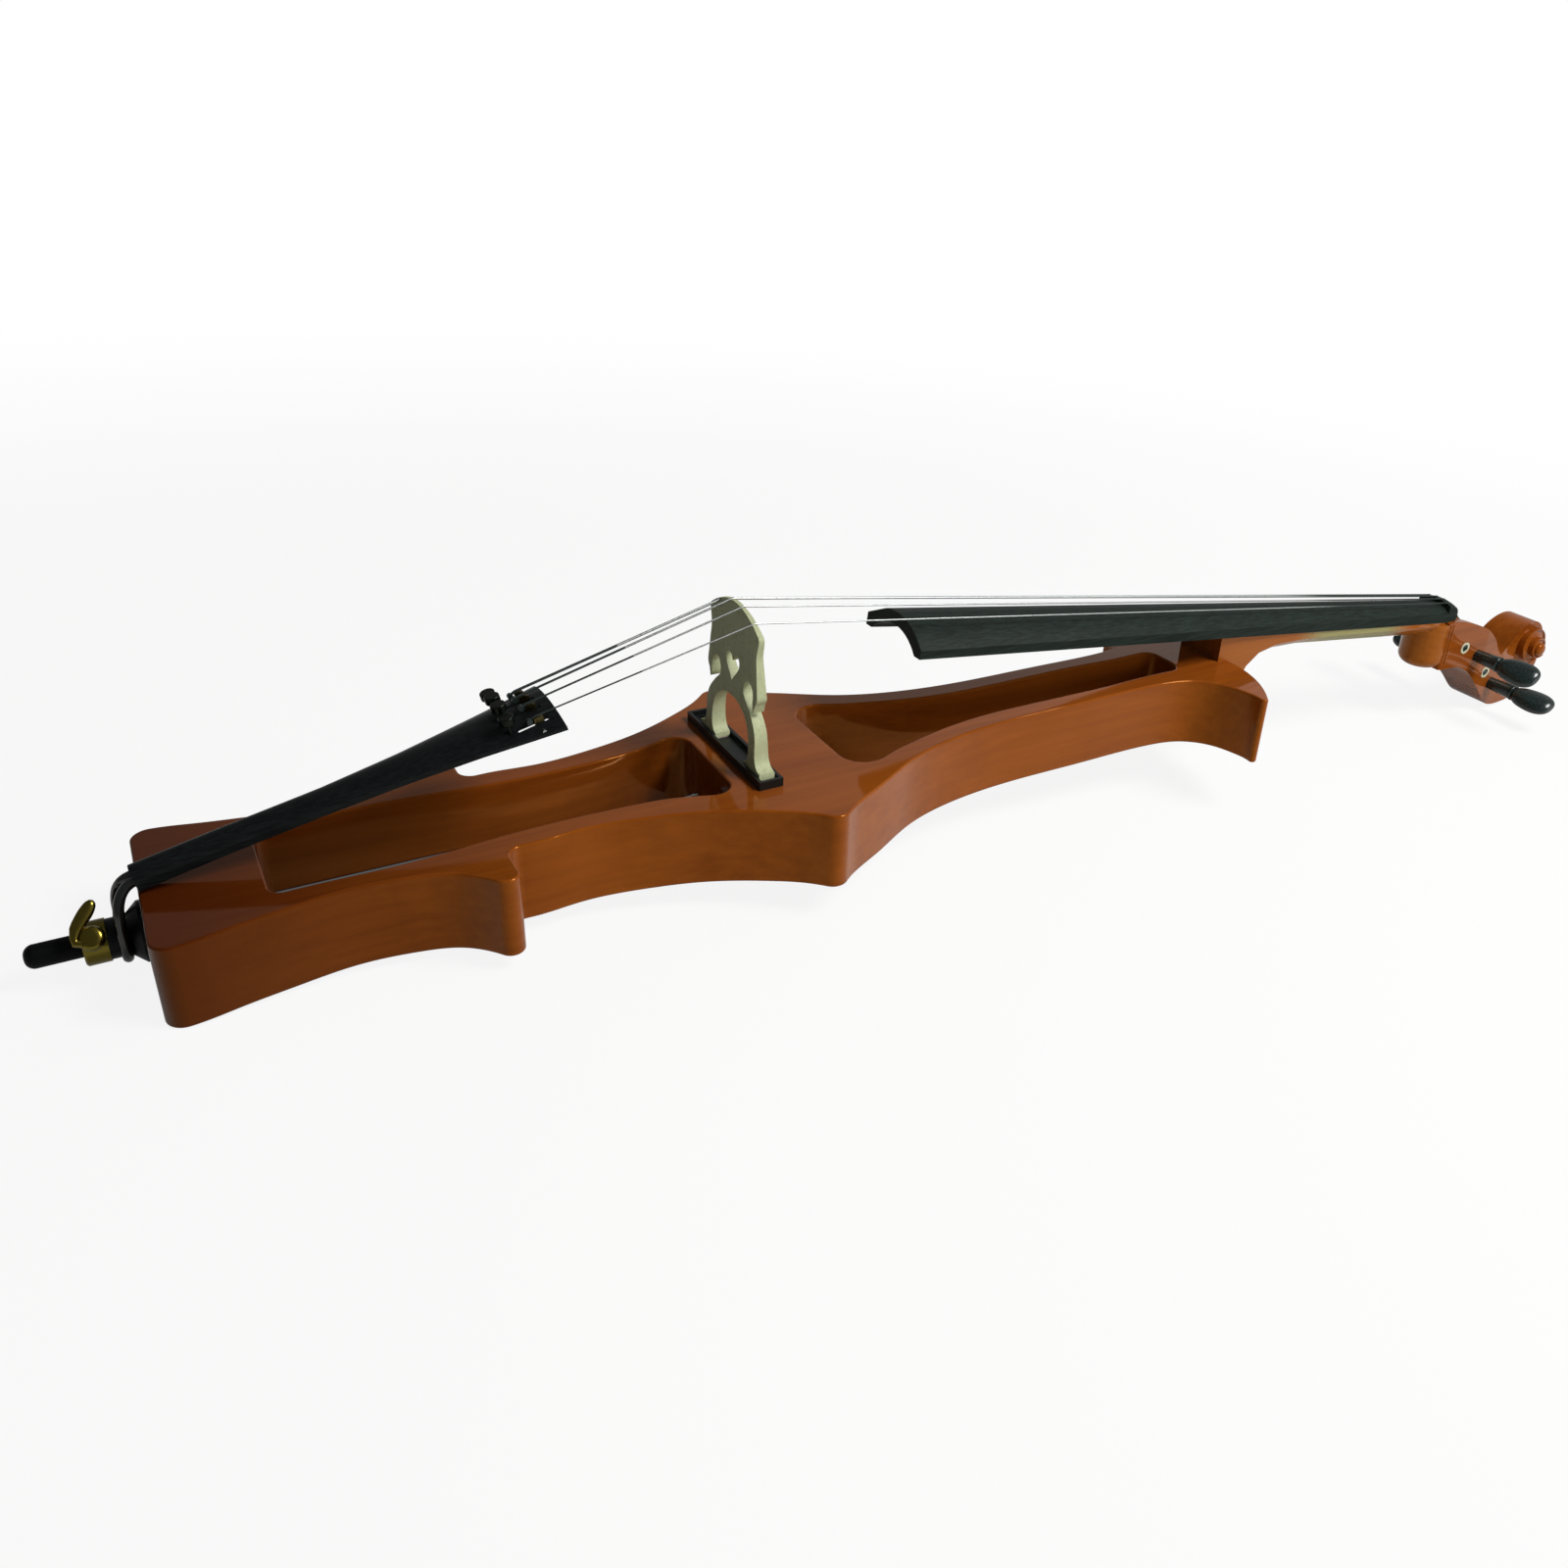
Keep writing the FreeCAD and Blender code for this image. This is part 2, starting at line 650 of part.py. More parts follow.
def make_bridge(strings):
    lists = [bridge_points(shares) for shares in
             (crown_corner_shares, bridge_flank_shares, bridge_wing_shares, bridge_beak_shares,
              bridge_notch_shares, bridge_leg_shares, foot_end_shares, foot_sole_shares,
              foot_toe_shares, bridge_arch_shares)]
    edges = chain(lists) + [line_edge(lists[-1][-1], lists[0][0])]
    half = face_of(edges).extrude(V(bridge_foot_thickness, 0, 0))
    half.translate(V(bridge_x - bridge_foot_thickness / 2, 0, 0))
    heart = bridge_points(heart_side_shares)
    heart_edges = chain([heart]) + [line_edge(heart[-1], heart[0])]
    cut = face_of(heart_edges).extrude(V(bridge_foot_thickness, 0, 0))
    cut.translate(V(bridge_x - bridge_foot_thickness / 2, 0, 0))
    solid = both_sides(half.cut(cut))
    foot = bridge_foot_thickness / 2
    crown = bridge_crown_thickness / 2
    height = top + bridge_height
    taper = ring_face([V(bridge_x - foot, -bridge_half_foot, top),
                       V(bridge_x + foot, -bridge_half_foot, top),
                       V(bridge_x + crown, -bridge_half_foot, height),
                       V(bridge_x - crown, -bridge_half_foot, height)])
    solid = solid.common(taper.extrude(V(0, 2 * bridge_half_foot, 0)))
    solid.translate(V(0, bridge_offset, 0))
    for string in strings:
        solid = solid.cut(string)
    return max(solid.Solids, key=lambda piece: piece.Volume)


def make_tray():
    solid = Part.makeBox(tray_length, tray_near + tray_far, tray_height,
                         V(tray_x, -tray_near, top))
    channel = Part.makeBox(tray_length - 2 * tray_wall, tray_near + tray_far - 2 * tray_wall,
                           tray_height, V(tray_x + tray_wall, -tray_near + tray_wall,
                                          top + tray_floor))
    lead_hole = Part.makeCylinder(lead_channel_radius, tray_floor, lead_start(), V(0, 0, 1))
    return solid.cut(channel).cut(lead_hole)


def make_strips():
    foot_bottom = foot_sole_shares[0][1] * bridge_height
    outer = foot_sole_shares[0][0] * bridge_half_foot
    inner = foot_sole_shares[1][0] * bridge_half_foot
    strips = []
    for side in (1, -1):
        strips.append(centred_box(strip_width, outer - inner, foot_bottom - tray_floor,
                                  bridge_x, bridge_offset + side * (outer + inner) / 2,
                                  top + tray_floor))
    return Part.makeCompound(strips)


# Pegbox with its peg holes and open cavity, and the scroll as stepped turns
def make_pegbox():
    lists = [[pegbox_point(share) for share in shares]
             for shares in (pegbox_top_shares, scroll_shares, pegbox_back_shares)]
    edges = chain(lists) + [line_edge(lists[-1][-1], lists[0][0])]
    reach = pegbox_plan_shares[0][1] * pegbox_length
    slab = face_of(edges).extrude(V(0, 2 * reach, 0))
    slab.translate(V(0, -reach, 0))
    floor = top - pegbox_length
    plan = [V(pegbox_x + x * pegbox_length, y * pegbox_length, floor) for x, y in pegbox_plan_shares]
    plan += [V(point.x, -point.y, point.z) for point in reversed(plan)]
    slab = slab.common(ring_face(plan).extrude(V(0, 0, 2 * pegbox_length)))
    for x, z, radius, half in scroll_turn_shares:
        turn = Part.makeCylinder(radius * pegbox_length, 2 * half * pegbox_length,
                                 pegbox_point((x, z), -half * pegbox_length), V(0, 1, 0))
        slab = slab.fuse(turn.makeChamfer(scroll_edge, [turn.Edges[0], turn.Edges[2]]))
    cavity = ring_face([pegbox_point(share, -cavity_half_width) for share in cavity_shares])
    slab = slab.cut(cavity.extrude(V(0, 2 * cavity_half_width, 0)))
    for name in string_names:
        slab = slab.cut(peg_cone(name, run_gap, peg_hole_share)).cut(bushing_blank(name))
    return slab.cut(nut_blank()).removeSplitter()


# The tapered part of a peg from its small end out to its neck
def peg_cone(name, gap, reach):
    side = peg_sides[name]
    half = pegbox_half_width(peg_places_shares[name][0])
    centre = pegbox_point(peg_places_shares[name], -side * half)
    slope = (peg_large_radius - peg_small_radius) / (2 * half)
    length = half * 2 * reach
    return Part.makeCone(peg_small_radius + gap, peg_small_radius + gap + slope * length, length,
                         centre, V(0, side, 0))


def bushing_blank(name):
    side = peg_sides[name]
    half = pegbox_half_width(peg_places_shares[name][0])
    length = half - cavity_half_width + bushing_lip
    centre = pegbox_point(peg_places_shares[name], -side * (half + bushing_lip))
    return Part.makeCylinder(bushing_radius, length, centre, V(0, side, 0))


def make_bushings():
    rings = [bushing_blank(name).cut(peg_bore(name)) for name in string_names]
    return Part.makeCompound(rings)


def peg_bore(name):
    side = peg_sides[name]
    half = pegbox_half_width(peg_places_shares[name][0])
    lip = Part.makeCylinder(peg_small_radius + run_gap, bushing_lip,
                            pegbox_point(peg_places_shares[name], -side * (half + bushing_lip)),
                            V(0, side, 0))
    return peg_cone(name, run_gap, 1).fuse(lip)


def make_peg(name):
    side = peg_sides[name]
    share = peg_places_shares[name]
    half = pegbox_half_width(share[0])
    way = V(0, side, 0)
    cone = peg_cone(name, 0, 1)
    neck = Part.makeCone(peg_large_radius, peg_neck_radius, peg_collar_place - half,
                         pegbox_point(share, side * half), way)
    collar = Part.makeCylinder(peg_collar_radius, peg_collar_length,
                               pegbox_point(share, side * peg_collar_place), way)
    collar = collar.makeFillet(peg_collar_round, [collar.Edges[0], collar.Edges[2]])
    rings = []
    for along, wide, thick in peg_head_stations_share:
        ellipse = Part.Ellipse(V(0, 0, 0), wide * peg_head_width / 2, thick * peg_head_thickness / 2)
        ring = Part.Wire([ellipse.toShape()])
        ring.translate(V(0, 0, along * peg_head_length))
        rings.append(ring)
    head = Part.makeLoft(rings, True, False)
    head.rotate(V(0, 0, 0), V(0, 0, 1), peg_head_turns[name])
    turn = FreeCAD.Rotation(V(0, 0, 1), way)
    base = pegbox_point(share, side * (peg_collar_place + peg_collar_length))
    head = placed(head, FreeCAD.Placement(base, turn))
    return cone.fuse(neck).fuse(collar).fuse(head).removeSplitter()


# Section across the tailpiece: flat underside, upright edges and an arched top
def tailpiece_section(x, half_width, crown, side, inset):
    half = half_width - inset
    edge = arc_height(crown, side, half_width, half) - inset
    edges = [line_edge(V(x, half, 0), V(x, -half, 0)),
             line_edge(V(x, -half, 0), V(x, -half, edge)),
             arc_edge([V(x, -half, edge), V(x, 0, crown - inset), V(x, half, edge)]),
             line_edge(V(x, half, edge), V(x, half, 0))]
    return Part.Wire(edges)


# Half width, crown and side height of the tailpiece at a place along it
def tailpiece_at(x):
    part = x / tailpiece_length
    for first, second in zip(tailpiece_stations_share, tailpiece_stations_share[1:]):
        if part <= second[0]:
            way = (part - first[0]) / (second[0] - first[0])
            mixed = [a + (b - a) * way for a, b in zip(first, second)]
            return mixed[1] * tailpiece_half_width, mixed[2], mixed[3]
    last = tailpiece_stations_share[-1]
    return last[1] * tailpiece_half_width, last[2], last[3]


def tuner_ys():
    return [share * tuner_half_spread for share in string_place_shares]


def tuner_top(y):
    half_width, crown, side = tailpiece_at(tuner_screw_place)
    return arc_height(crown, side, half_width, y)


def make_tailpiece():
    wires = []
    for along, half, crown, side in tailpiece_stations_share:
        wires.append(tailpiece_section(along * tailpiece_length, half * tailpiece_half_width,
                                       crown, side, 0))
    solid = Part.makeLoft(wires, True, True)
    hollow = []
    for x in (tailpiece_hollow_start, tailpiece_length - tailpiece_front_wall):
        half_width, crown, side = tailpiece_at(x)
        hollow.append(tailpiece_section(x, half_width, crown, side, tailpiece_wall))
    solid = solid.cut(Part.makeLoft(hollow, True, True))
    width = tuner_lever_width + 2 * tuner_slot_gap
    for y in tuner_ys():
        slot = Part.makeBox(tuner_slot_end - tuner_slot_start, width, 2 * tuner_hook_inner,
                            V(tuner_slot_start, y - width / 2, 0))
        bore = Part.makeCylinder(screw_radius + run_gap, 2 * tuner_hook_inner,
                                 V(tuner_screw_place, y, 0), V(0, 0, 1))
        solid = solid.cut(slot).cut(bore)
    solid = solid.cut(tuner_axle_blank())
    for side in (1, -1):
        solid = solid.cut(Part.makeCylinder(cord_radius + string_gap, tail_hole_depth,
                                            V(0, side * tail_hole_spread, tail_hole_height),
                                            V(1, 0, 0)))
    return placed(max(solid.Solids, key=lambda piece: piece.Volume), tail_frame)


def tuner_axle_blank():
    half_width, crown, side = tailpiece_at(tuner_axle_place)
    length = 2 * half_width - tailpiece_wall
    return Part.makeCylinder(tuner_axle_radius, length,
                             V(tuner_axle_place, -length / 2, tuner_axle_height), V(0, 1, 0))


def make_tuner_screw(place):
    y = tuner_ys()[place]
    surface = tuner_top(y)
    length = surface + knob_clear - tuner_arm_top - string_gap
    shaft = Part.makeCylinder(screw_radius, length,
                              V(tuner_screw_place, y, tuner_arm_top + string_gap), V(0, 0, 1))
    knob = Part.makeCylinder(knob_radius, knob_height,
                             V(tuner_screw_place, y, surface + knob_clear), V(0, 0, 1))
    knob = knob.makeFillet(knob_round, [knob.Edges[0], knob.Edges[2]])
    return placed(shaft.fuse(knob), tail_frame)


# Lever: an arm under the screw and an upright whose round top is centred on the axle
def make_tuner_lever(place):
    share = string_place_shares[place]
    y = tuner_ys()[place] - tuner_lever_width / 2
    hook_top = string_level(share, tuner_hook_inner, tuner_hook_outer)
    axle = V(tuner_axle_place, y, tuner_axle_height)
    arm_start = tuner_screw_place - 2 * screw_radius
    arm = Part.makeBox(tuner_axle_place - arm_start, tuner_lever_width,
                       tuner_arm_top - tuner_arm_bottom, V(arm_start, y, tuner_arm_bottom))
    hub = Part.makeCylinder(tuner_hub_radius, tuner_lever_width, axle, V(0, 1, 0))
    disc = Part.makeCylinder(hook_top - tuner_axle_height, tuner_lever_width, axle, V(0, 1, 0))
    post = Part.makeBox(tuner_hook_back + tuner_hook_front, tuner_lever_width, hook_top,
                        V(tuner_axle_place - tuner_hook_back, y, tuner_axle_height))
    solid = post.common(disc).fuse(arm).fuse(hub)
    bore = Part.makeCylinder(tuner_axle_radius + run_gap, tuner_lever_width, axle, V(0, 1, 0))
    return placed(solid.cut(bore).removeSplitter(), tail_frame)


# The cord leaves the tailpiece, bends over and passes round the groove of the plug
def make_tail_cord():
    ring = plug_groove_radius + cord_radius
    sides = []
    for side in (1, -1):
        inside = tail_frame.multVec(V(tail_hole_depth, side * tail_hole_spread, tail_hole_height))
        mouth = tail_frame.multVec(V(-cord_reach, side * tail_hole_spread, tail_hole_height))
        entry = V(plug_x, side * ring, endpin_level + cord_drop)
        groove = V(plug_x, side * ring, endpin_level)
        sides.append([inside, mouth, entry, groove])
    first = rounded_path(sides[0], [cord_bend, cord_bend])
    second = rounded_path(list(reversed(sides[1])), [cord_bend, cord_bend])
    loop = arc_edge([sides[0][-1], V(plug_x, 0, endpin_level - ring), sides[1][-1]])
    return swept(first + [loop] + second, cord_radius)


def make_endpin_plug():
    groove = cord_radius + string_gap
    profile = [(-collar_start + collar_face, spigot_radius), (-collar_end, spigot_radius),
               (-collar_end, plug_radius), (plug_x - groove, plug_radius),
               (plug_x - groove, plug_groove_radius), (plug_x + groove, plug_groove_radius),
               (plug_x + groove, plug_flare_radius),
               (-plug_flange_thickness, plug_flange_radius), (0, plug_flange_radius),
               (0, plug_stem_radius), (plug_stem_length, plug_stem_radius),
               (plug_stem_length, rod_radius + run_gap),
               (-collar_start + collar_face, rod_radius + run_gap)]
    solid = turned(profile)
    return solid.cut(thumb_shaft(run_gap))


def make_endpin_collar():
    profile = [(-collar_start, rod_radius + run_gap), (-collar_start, collar_radius - collar_edge),
               (-collar_start + collar_edge, collar_radius), (-collar_end, collar_radius),
               (-collar_end, spigot_radius), (-collar_start + collar_face, spigot_radius),
               (-collar_start + collar_face, rod_radius + run_gap)]
    solid = turned(profile)
    return solid.cut(thumb_shaft(run_gap))


# The thumbscrew stands square to its own frame, which leans towards the treble side
def thumb_shaft(gap):
    bottom = rod_radius + part_gap
    shaft = Part.makeCylinder(thumb_shaft_radius + gap, thumb_level() - bottom,
                              V(0, 0, bottom), V(0, 0, 1))
    return placed(shaft, thumb_frame)


# The wing turns clear of the tail cord in its groove
def thumb_level():
    return plug_groove_radius + 2 * cord_radius + thumb_clear


def make_thumbscrew():
    lists = [[V(x * thumb_wing, y * thumb_wing, thumb_level()) for x, y in shares]
             for shares in (thumb_outer_shares, thumb_nose_shares, thumb_inner_shares,
                            thumb_base_shares)]
    wing = face_of(chain(lists)).extrude(V(0, 0, thumb_thickness))
    start = collar_radius + thumb_clear
    boss = Part.makeCylinder(thumb_boss_radius, thumb_level() + thumb_thickness - start,
                             V(0, 0, start), V(0, 0, 1))
    head = placed(wing.fuse(boss), thumb_frame)
    return head.fuse(thumb_shaft(0)).removeSplitter()


def make_endpin_rod():
    stop = rod_end - rod_crimp_length
    return turned([(-rod_tail, 0), (-rod_tail, rod_radius), (stop, rod_radius),
                   (stop, rod_crimp), (rod_end - (rod_crimp - rod_radius), rod_crimp),
                   (rod_end, rod_radius), (rod_end, 0)])


def make_endpin_tip():
    solid = Part.makeCylinder(tip_radius, tip_length, V(-tip_start, 0, endpin_level), V(1, 0, 0))
    rim = [edge for edge in solid.Edges if abs(edge.CenterOfMass.x + tip_start) < tolerance]
    solid = solid.makeFillet(tip_round, rim)
    bore = Part.makeCylinder(rod_radius, tip_length, V(-rod_tail, 0, endpin_level), V(1, 0, 0))
    return solid.cut(bore)


# Places along the control plate, from the apex of the body towards the neck
def control_place(order):
    return (order - 1) * control_pitch


def control_cylinder(radius, order, start, end):
    return Part.makeCylinder(radius, end - start, V(control_place(order), 0, start), V(0, 0, 1))


def make_control_plate():
    plate = centred_box(plate_length, plate_height, plate_thickness, 0, 0,
                        -plate_sink - plate_thickness)
    plate = plate.cut(control_cylinder(jack_radius, 0, -2 * plate_thickness, 0))
    for order in (1, 2):
        plate = plate.cut(control_cylinder(pot_bush_radius, order, -2 * plate_thickness, 0))
    for x in plate_screw_xs():
        plate = plate.cut(Part.makeCylinder(plate_screw_radius + run_gap, 2 * plate_thickness,
                                            V(x, 0, -2 * plate_thickness), V(0, 0, 1)))
    return placed(plate, plate_frame)


def plate_screw_xs():
    reach = plate_length / 2 - plate_screw_inset
    return (-reach, reach)


def make_plate_screws():
    screws = []
    for x in plate_screw_xs():
        shank = Part.makeCylinder(plate_screw_radius, plate_screw_length, V(x, 0, -plate_sink),
                                  V(0, 0, -1))
        head = Part.makeCylinder(plate_screw_head, plate_screw_radius, V(x, 0, -plate_sink),
                                 V(0, 0, 1))
        screws.append(placed(shank.fuse(head), plate_frame))
    return Part.makeCompound(screws)


def make_jack():
    back = -plate_sink - plate_thickness
    barrel = control_cylinder(jack_radius, 0, -jack_length, 0)
    collar = control_cylinder(jack_nut_radius, 0, back - plate_thickness, back)
    nut = control_cylinder(jack_nut_radius, 0, -plate_sink, -plate_sink + jack_nut_height)
    solid = barrel.fuse(collar).fuse(nut)
    bore = control_cylinder(jack_bore_radius, 0, jack_nut_height - plate_sink - jack_bore_length,
                            jack_nut_height)
    return placed(solid.cut(bore).removeSplitter(), plate_frame)


def make_pots():
    back = -plate_sink - plate_thickness
    pots = []
    for order in (1, 2):
        can = control_cylinder(pot_radius, order, back - pot_depth, back)
        bush = control_cylinder(pot_bush_radius, order, back, 0)
        bore = control_cylinder(pot_shaft_radius + run_gap, order, back - pot_depth / 2, 0)
        pots.append(placed(can.fuse(bush).cut(bore), plate_frame))
    return Part.makeCompound(pots)


def make_knob(order):
    back = -plate_sink - plate_thickness
    cap = control_cylinder(control_knob_radius, order, control_knob_lift,
                           control_knob_lift + control_knob_height)
    cap = cap.makeFillet(control_knob_round, [cap.Edges[0]])
    mark = Part.makeBox(control_knob_radius, plate_screw_radius, plate_screw_radius,
                        V(control_place(order), -plate_screw_radius / 2,
                          control_knob_lift + control_knob_height - plate_screw_radius / 2))
    shaft = control_cylinder(pot_shaft_radius, order, back - pot_depth / 2 + string_gap,
                             control_knob_lift)
    return placed(cap.cut(mark).fuse(shaft), plate_frame)


def make_preamp():
    bottom = -pocket_depth
    x = control_pitch / 2
    card = centred_box(board_card_length - 2 * jack_radius, board_card_height,
                       board_card_thickness, x, 0, bottom)
    for share in (-1, 0, 1):
        card = card.fuse(centred_box(chip_length / 2, chip_width, chip_height,
                                     x + share * chip_length, 0, bottom + board_card_thickness))
    return placed(card, plate_frame)


def battery_x():
    return battery_place_share * body_length


def make_battery():
    solid = centred_box(battery_length, battery_width, battery_height, battery_x(), battery_offset,
                        door_thickness)
    uprights = [edge for edge in solid.Edges
                if abs(edge.BoundBox.ZLength - battery_height) < tolerance]
    return solid.makeFillet(battery_slack, uprights)


def door_size(margin):
    return battery_length + 2 * battery_slack + 2 * margin, battery_width + 2 * battery_slack


def make_battery_door():
    length, width = door_size(door_margin)
    door = centred_box(length, width, door_thickness, battery_x(), battery_offset, 0)
    return door.cut(door_screw_shapes(run_gap))


def door_screw_shapes(gap):
    length, width = door_size(door_margin)
    screws = []
    for side in (1, -1):
        place = V(battery_x() + side * (length - door_margin) / 2, battery_offset, 0)
        head = Part.makeCone(door_screw_head + gap, door_screw_radius + gap, door_thickness / 2,
                             place, V(0, 0, 1))
        shank = Part.makeCylinder(door_screw_radius + gap, door_screw_length, place, V(0, 0, 1))
        screws.append(head.fuse(shank))
    return Part.makeCompound(screws)


def lead_start():
    return V(bridge_x, tray_far - 3 * tray_wall, top)


def lead_end():
    inset = lead_channel_radius * 2
    return plate_frame.multVec(V(inset - pocket_length / 2, lead_channel_radius - pocket_height / 2,
                                 inset - pocket_depth))


def make_pickup_lead():
    start = lead_start()
    inset = lead_end().sub(start).normalize().multiply(2 * lead_channel_radius)
    return rod_between(start.add(inset), lead_end(), lead_radius)


def battery_lead_ends():
    start = V(battery_x() + battery_length / 4, battery_offset + battery_width / 2,
              door_thickness + battery_height / 2)
    end = plate_frame.multVec(V(0, 0, -pocket_depth))
    end = V(end.x, end.y, start.z + lead_channel_radius * 4)
    return start, end


def make_battery_lead():
    start, end = battery_lead_ends()
    inset = end.sub(start).normalize().multiply(lead_channel_radius)
    return rod_between(start.add(inset), end.sub(inset), lead_radius)


def make_body():
    solid = plan_slab([tail_corner_shares, tail_side_shares, lower_tip_shares, step_side_shares,
                       step_root_shares, waist_side_shares, apex_shares, shoulder_side_shares,
                       upper_tip_shares, neck_side_shares], body_depth)
    lower = plan_slab([lower_start_shares, lower_tail_corner_shares, lower_side_shares,
                       lower_head_corner_shares, lower_end_shares], body_depth)
    upper = plan_slab([upper_start_shares, upper_tail_corner_shares, upper_side_shares,
                       upper_head_corner_shares, upper_end_shares], body_depth)
    solid = solid.cut(lower).cut(upper)
    rims = [edge for edge in solid.Edges
            if max(abs(vertex.Z) for vertex in edge.Vertexes) < tolerance
            or min(vertex.Z for vertex in edge.Vertexes) > body_depth - tolerance]
    solid = solid.makeFillet(edge_round, rims)
    solid = solid.cut(Part.makeBox(2 * mortise_depth, 2 * heel_half_width, body_depth,
                                   V(root_x, -heel_half_width, 0)))
    solid = solid.cut(Part.makeCylinder(plug_stem_radius, plug_stem_length,
                                        V(0, 0, endpin_level), V(1, 0, 0)))
    solid = solid.cut(Part.makeCylinder(rod_radius + part_gap, rod_end,
                                        V(0, 0, endpin_level), V(1, 0, 0)))
    # Pocket, rebate and bores for the controls
    recess = centred_box(plate_length, plate_height, plate_height, 0, 0,
                         -plate_sink - plate_thickness)
    pocket = centred_box(pocket_length, pocket_height, pocket_depth, 0, 0, -pocket_depth)
    deep = control_cylinder(jack_radius + part_gap, 0, -jack_length - part_gap, 0)
    for piece in (recess, pocket, deep):
        solid = solid.cut(placed(piece, plate_frame))
    for screw in make_plate_screws().Solids:
        solid = solid.cut(screw)
    length, width = door_size(door_margin)
    rebate = centred_box(length, width, door_thickness, battery_x(), battery_offset, 0)
    length, width = door_size(0)
    space = centred_box(length, width, door_thickness + battery_height + battery_slack,
                        battery_x(), battery_offset, 0)
    solid = solid.cut(rebate).cut(space).cut(door_screw_shapes(0))
    solid = solid.cut(rod_between(lead_start(), lead_end(), lead_channel_radius))
    start, end = battery_lead_ends()
    solid = solid.cut(rod_between(start, end, lead_channel_radius))
    return max(solid.Solids, key=lambda piece: piece.Volume)


def build():
    strings = [make_string(place) for place in range(len(string_names))]
    nodes = {"body_frame": make_body(), "neck": make_neck(), "pegbox_and_scroll": make_pegbox(),
             "fingerboard": make_fingerboard(), "nut": make_nut(strings),
             "bridge": make_bridge(strings), "pickup_tray": make_tray(),
             "piezo_strips": make_strips(), "peg_bushings": make_bushings(),
             "tailpiece": make_tailpiece(),
             "tuner_axle": placed(tuner_axle_blank(), tail_frame),
             "tail_cord": make_tail_cord(), "endpin_plug": make_endpin_plug(),
             "endpin_collar": make_endpin_collar(), "endpin_thumbscrew": make_thumbscrew(),
             "endpin_rod": make_endpin_rod(), "endpin_tip": make_endpin_tip(),
             "control_plate": make_control_plate(), "control_plate_screws": make_plate_screws(),
             "output_jack": make_jack(), "potentiometers": make_pots(),
             "volume_knob": make_knob(1), "tone_knob": make_knob(2),
             "preamp_board": make_preamp(), "battery": make_battery(),
             "battery_door": make_battery_door(), "battery_door_screws": door_screw_shapes(0),
             "pickup_lead": make_pickup_lead(), "battery_lead": make_battery_lead()}
    for place, name in enumerate(string_names):
        nodes["string_" + name] = strings[place]
        nodes["peg_" + name] = make_peg(name)
        nodes["tuner_screw_" + name] = make_tuner_screw(place)
        nodes["tuner_lever_" + name] = make_tuner_lever(place)
    return nodes


os.makedirs("parts", exist_ok=True)
for node, shape in build().items():
    shape.translate(V(-bridge_x, 0, 0))
    shape.exportStep("parts/" + node + ".step")
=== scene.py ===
import json
import math
import bmesh
import bpy
from mathutils import Matrix, Vector


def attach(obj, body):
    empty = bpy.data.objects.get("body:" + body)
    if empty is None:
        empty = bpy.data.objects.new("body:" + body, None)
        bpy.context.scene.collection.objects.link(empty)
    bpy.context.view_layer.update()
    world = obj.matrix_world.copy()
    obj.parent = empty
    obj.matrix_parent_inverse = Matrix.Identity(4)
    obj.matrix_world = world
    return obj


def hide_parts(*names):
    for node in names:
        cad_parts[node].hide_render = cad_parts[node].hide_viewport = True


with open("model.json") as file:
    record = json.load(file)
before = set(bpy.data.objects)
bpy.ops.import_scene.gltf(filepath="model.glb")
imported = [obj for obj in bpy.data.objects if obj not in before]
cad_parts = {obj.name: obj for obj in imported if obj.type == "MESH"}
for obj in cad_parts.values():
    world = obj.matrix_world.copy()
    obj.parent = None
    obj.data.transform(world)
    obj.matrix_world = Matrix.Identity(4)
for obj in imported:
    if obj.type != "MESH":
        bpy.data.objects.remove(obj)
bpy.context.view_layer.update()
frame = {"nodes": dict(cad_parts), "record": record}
cad = frame["nodes"]

MM = 0.001
STRINGS = ("c", "g", "d", "a")


# Colour and node helpers
def paint(code):
    channels = [int(code[place:place + 2], 16) / 255 for place in (1, 3, 5)]
    return [c / 12.92 if c <= 0.04045 else ((c + 0.055) / 1.055) ** 2.4 for c in channels] + [1.0]


# Adds one node. Lower-case names are the node's own settings, the others its sockets.
def add(tree, kind, **given):
    node = tree.nodes.new("ShaderNode" + kind)
    for name, value in given.items():
        if name[0].islower():
            setattr(node, name, value)
    for name, value in given.items():
        if name[0].islower():
            continue
        key = int(name[1:]) if name[0] == "S" and name[1:].isdigit() else name.replace("_", " ")
        if isinstance(value, bpy.types.NodeSocket):
            tree.links.new(value, node.inputs[key])
        else:
            node.inputs[key].default_value = value
    return node


def new_finish(name):
    finish = bpy.data.materials.new(name)
    finish.use_nodes = True
    finish.node_tree.nodes.clear()
    return finish, finish.node_tree


# Place on the object, in metres, stretched so that a pattern has the given size in mm
def pattern_place(tree, size):
    where = add(tree, "TexCoord").outputs["Object"]
    scale = [1000 / length for length in size]
    return add(tree, "Mapping", Vector=where, Scale=scale).outputs[0]


